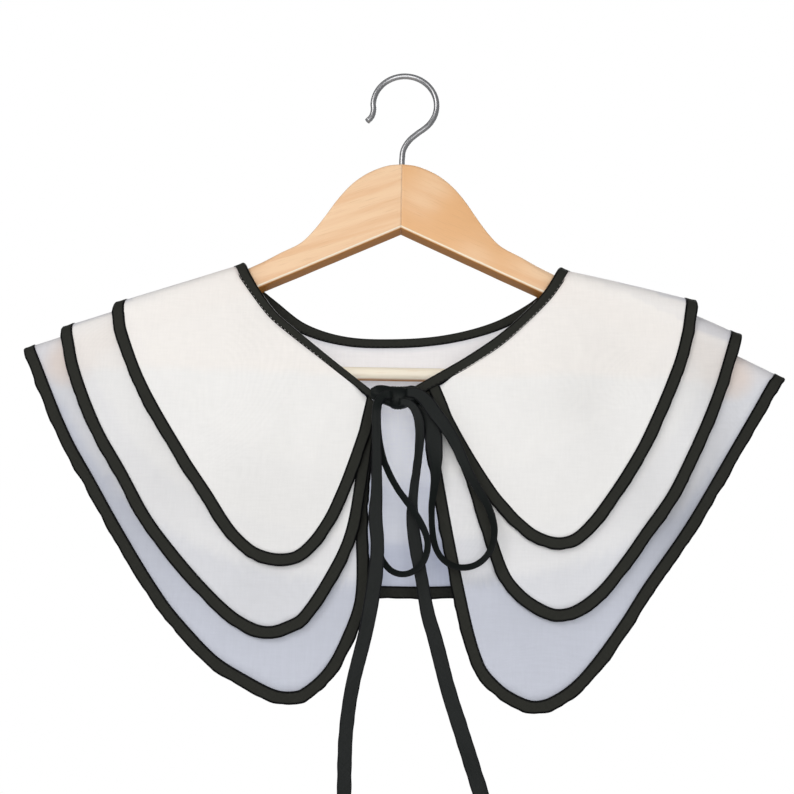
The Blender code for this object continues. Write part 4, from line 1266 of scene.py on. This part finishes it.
# Painted shade along the bar's underside. The bar's wood is also mixed almost wholly to the pale colour:
# partly paler wood, partly a painted highlight for the bright light along it.
under = [max(0.0, min(1.0, (-sin(t) - 0.75) / 0.2)) for t in bar_turns]
new_piece(
    "hanger_bar_wood", verts, ring_faces(BAR_STATIONS, BAR_SIDES),
    wood_material("pale_wood_bar", 0.0, 1.3, 0.95, 0.0), "hanger_bar", "pale_hanger_wood",
    {"under": under * BAR_STATIONS},
)

# Hook: plain steel wire, up from the head and over, with its inner top where the rail carries it.
HOOK_INNER_RADIUS = 0.020
HOOK_WIRE_RADIUS = 0.002
HOOK_STEM = ((-0.0013, -0.0659), (-0.0013, -0.060), (-0.0004, -0.053), (0.0036, -0.046), (0.0094, -0.0406))
steel, tree, shader = new_material("hook_steel", (0.42, 0.42, 0.43), Metallic=1.0)
scratches = noise_value(tree, object_place(tree), 900.0, Detail=3.0)
put(shader.inputs["Base Color"], blend_colours(tree, scratches, (0.33, 0.33, 0.34), (0.5, 0.5, 0.51)))
put(shader.inputs["Roughness"], math(tree, "MULTIPLY_ADD", scratches, 0.2, 0.2))
wire_radius = HOOK_INNER_RADIUS + HOOK_WIRE_RADIUS
bow = [
    (wire_radius * cos(radians(a)), -HOOK_INNER_RADIUS + wire_radius * sin(radians(a)))
    for a in (-50, *range(-38, 200, 12))
]
tip = [(bow[-1][0] - 0.0012, bow[-1][1] - 0.0050), (bow[-1][0] - 0.0042, bow[-1][1] - 0.0086)]
centre_line = smooth_line(list(HOOK_STEM) + bow + tip, 4)
WIRE_SIDES = 20
verts = []
for i, point in enumerate(centre_line):
    along = (centre_line[min(i + 1, len(centre_line) - 1)] - centre_line[max(i - 1, 0)]).normalized()
    side = Vector((along.y, 0.0, -along.x))
    for k in range(WIRE_SIDES):
        t = 2 * pi * k / WIRE_SIDES
        offset = side * cos(t) + Vector((0.0, 1.0, 0.0)) * sin(t)
        verts.append(Vector((point.x, 0.0, point.y)) + offset * HOOK_WIRE_RADIUS)
new_piece(
    "hanger_hook_wire", verts, ring_faces(len(centre_line), WIRE_SIDES), steel, "hanger_hook", "hook_steel"
)

# Room: a plain pale floor well below the tails, white surroundings and soft studio light from the
# front, a little stronger from the upper left.
FLOOR_Z = -0.90
FLOOR_RADIUS = 4.0
FLOOR_SIDES = 96
floor_mesh = bpy.data.meshes.new("floor")
rim = [2 * pi * k / FLOOR_SIDES for k in range(FLOOR_SIDES)]
floor_mesh.from_pydata(
    [(FLOOR_RADIUS * cos(t), FLOOR_RADIUS * sin(t), FLOOR_Z) for t in rim], [], [tuple(range(FLOOR_SIDES))]
)
floor = bpy.data.objects.new("floor", floor_mesh)
bpy.context.scene.collection.objects.link(floor)
floor_paint, tree, shader = new_material("pale_floor", (0.86, 0.86, 0.85), Roughness=0.8)
mottle = noise_value(tree, object_place(tree), 4.0, Detail=4.0)
put(shader.inputs["Base Color"], blend_colours(tree, mottle, (0.84, 0.84, 0.83), (0.88, 0.88, 0.87)))
floor_mesh.materials.append(floor_paint)

world = bpy.data.worlds.new("white_surroundings")
world.use_nodes = True
bpy.context.scene.world = world
tree = world.node_tree
tree.nodes.clear()
ambient = add_node(tree, "ShaderNodeBackground", {"Color": (0.97, 0.985, 1.0), "Strength": 0.34})
backdrop = add_node(tree, "ShaderNodeBackground", {"Color": (1.0, 1.0, 1.0), "Strength": 1.0})
seen = add_node(tree, "ShaderNodeLightPath").outputs["Is Camera Ray"]
mixed = add_node(tree, "ShaderNodeMixShader", {"Fac": seen, 1: ambient.outputs[0], 2: backdrop.outputs[0]})
add_node(tree, "ShaderNodeOutputWorld", {"Surface": mixed.outputs[0]})

# Columns: name, place, size, watts, colour
LIGHTS = (
    ("front", (0.1, -2.1, -0.55), 1.8, 23.5, (1.0, 0.997, 0.99)),
    ("key", (-1.1, -1.7, 0.75), 1.1, 13.0, (1.0, 0.985, 0.965)),
    ("back", (0.4, 1.7, 0.9), 1.4, 12.0, (1.0, 1.0, 1.0)),
)
for name, spot, size, watts, colour in LIGHTS:
    lamp = bpy.data.lights.new(name, "AREA")
    lamp.shape = "DISK"
    lamp.size = size
    lamp.energy = watts
    lamp.color = colour
    holder = bpy.data.objects.new(name, lamp)
    holder.location = spot
    holder.rotation_euler = (CAMERA_TARGET - Vector(spot)).to_track_quat("-Z", "Y").to_euler()
    bpy.context.scene.collection.objects.link(holder)
bpy.context.scene.view_settings.view_transform = "Standard"
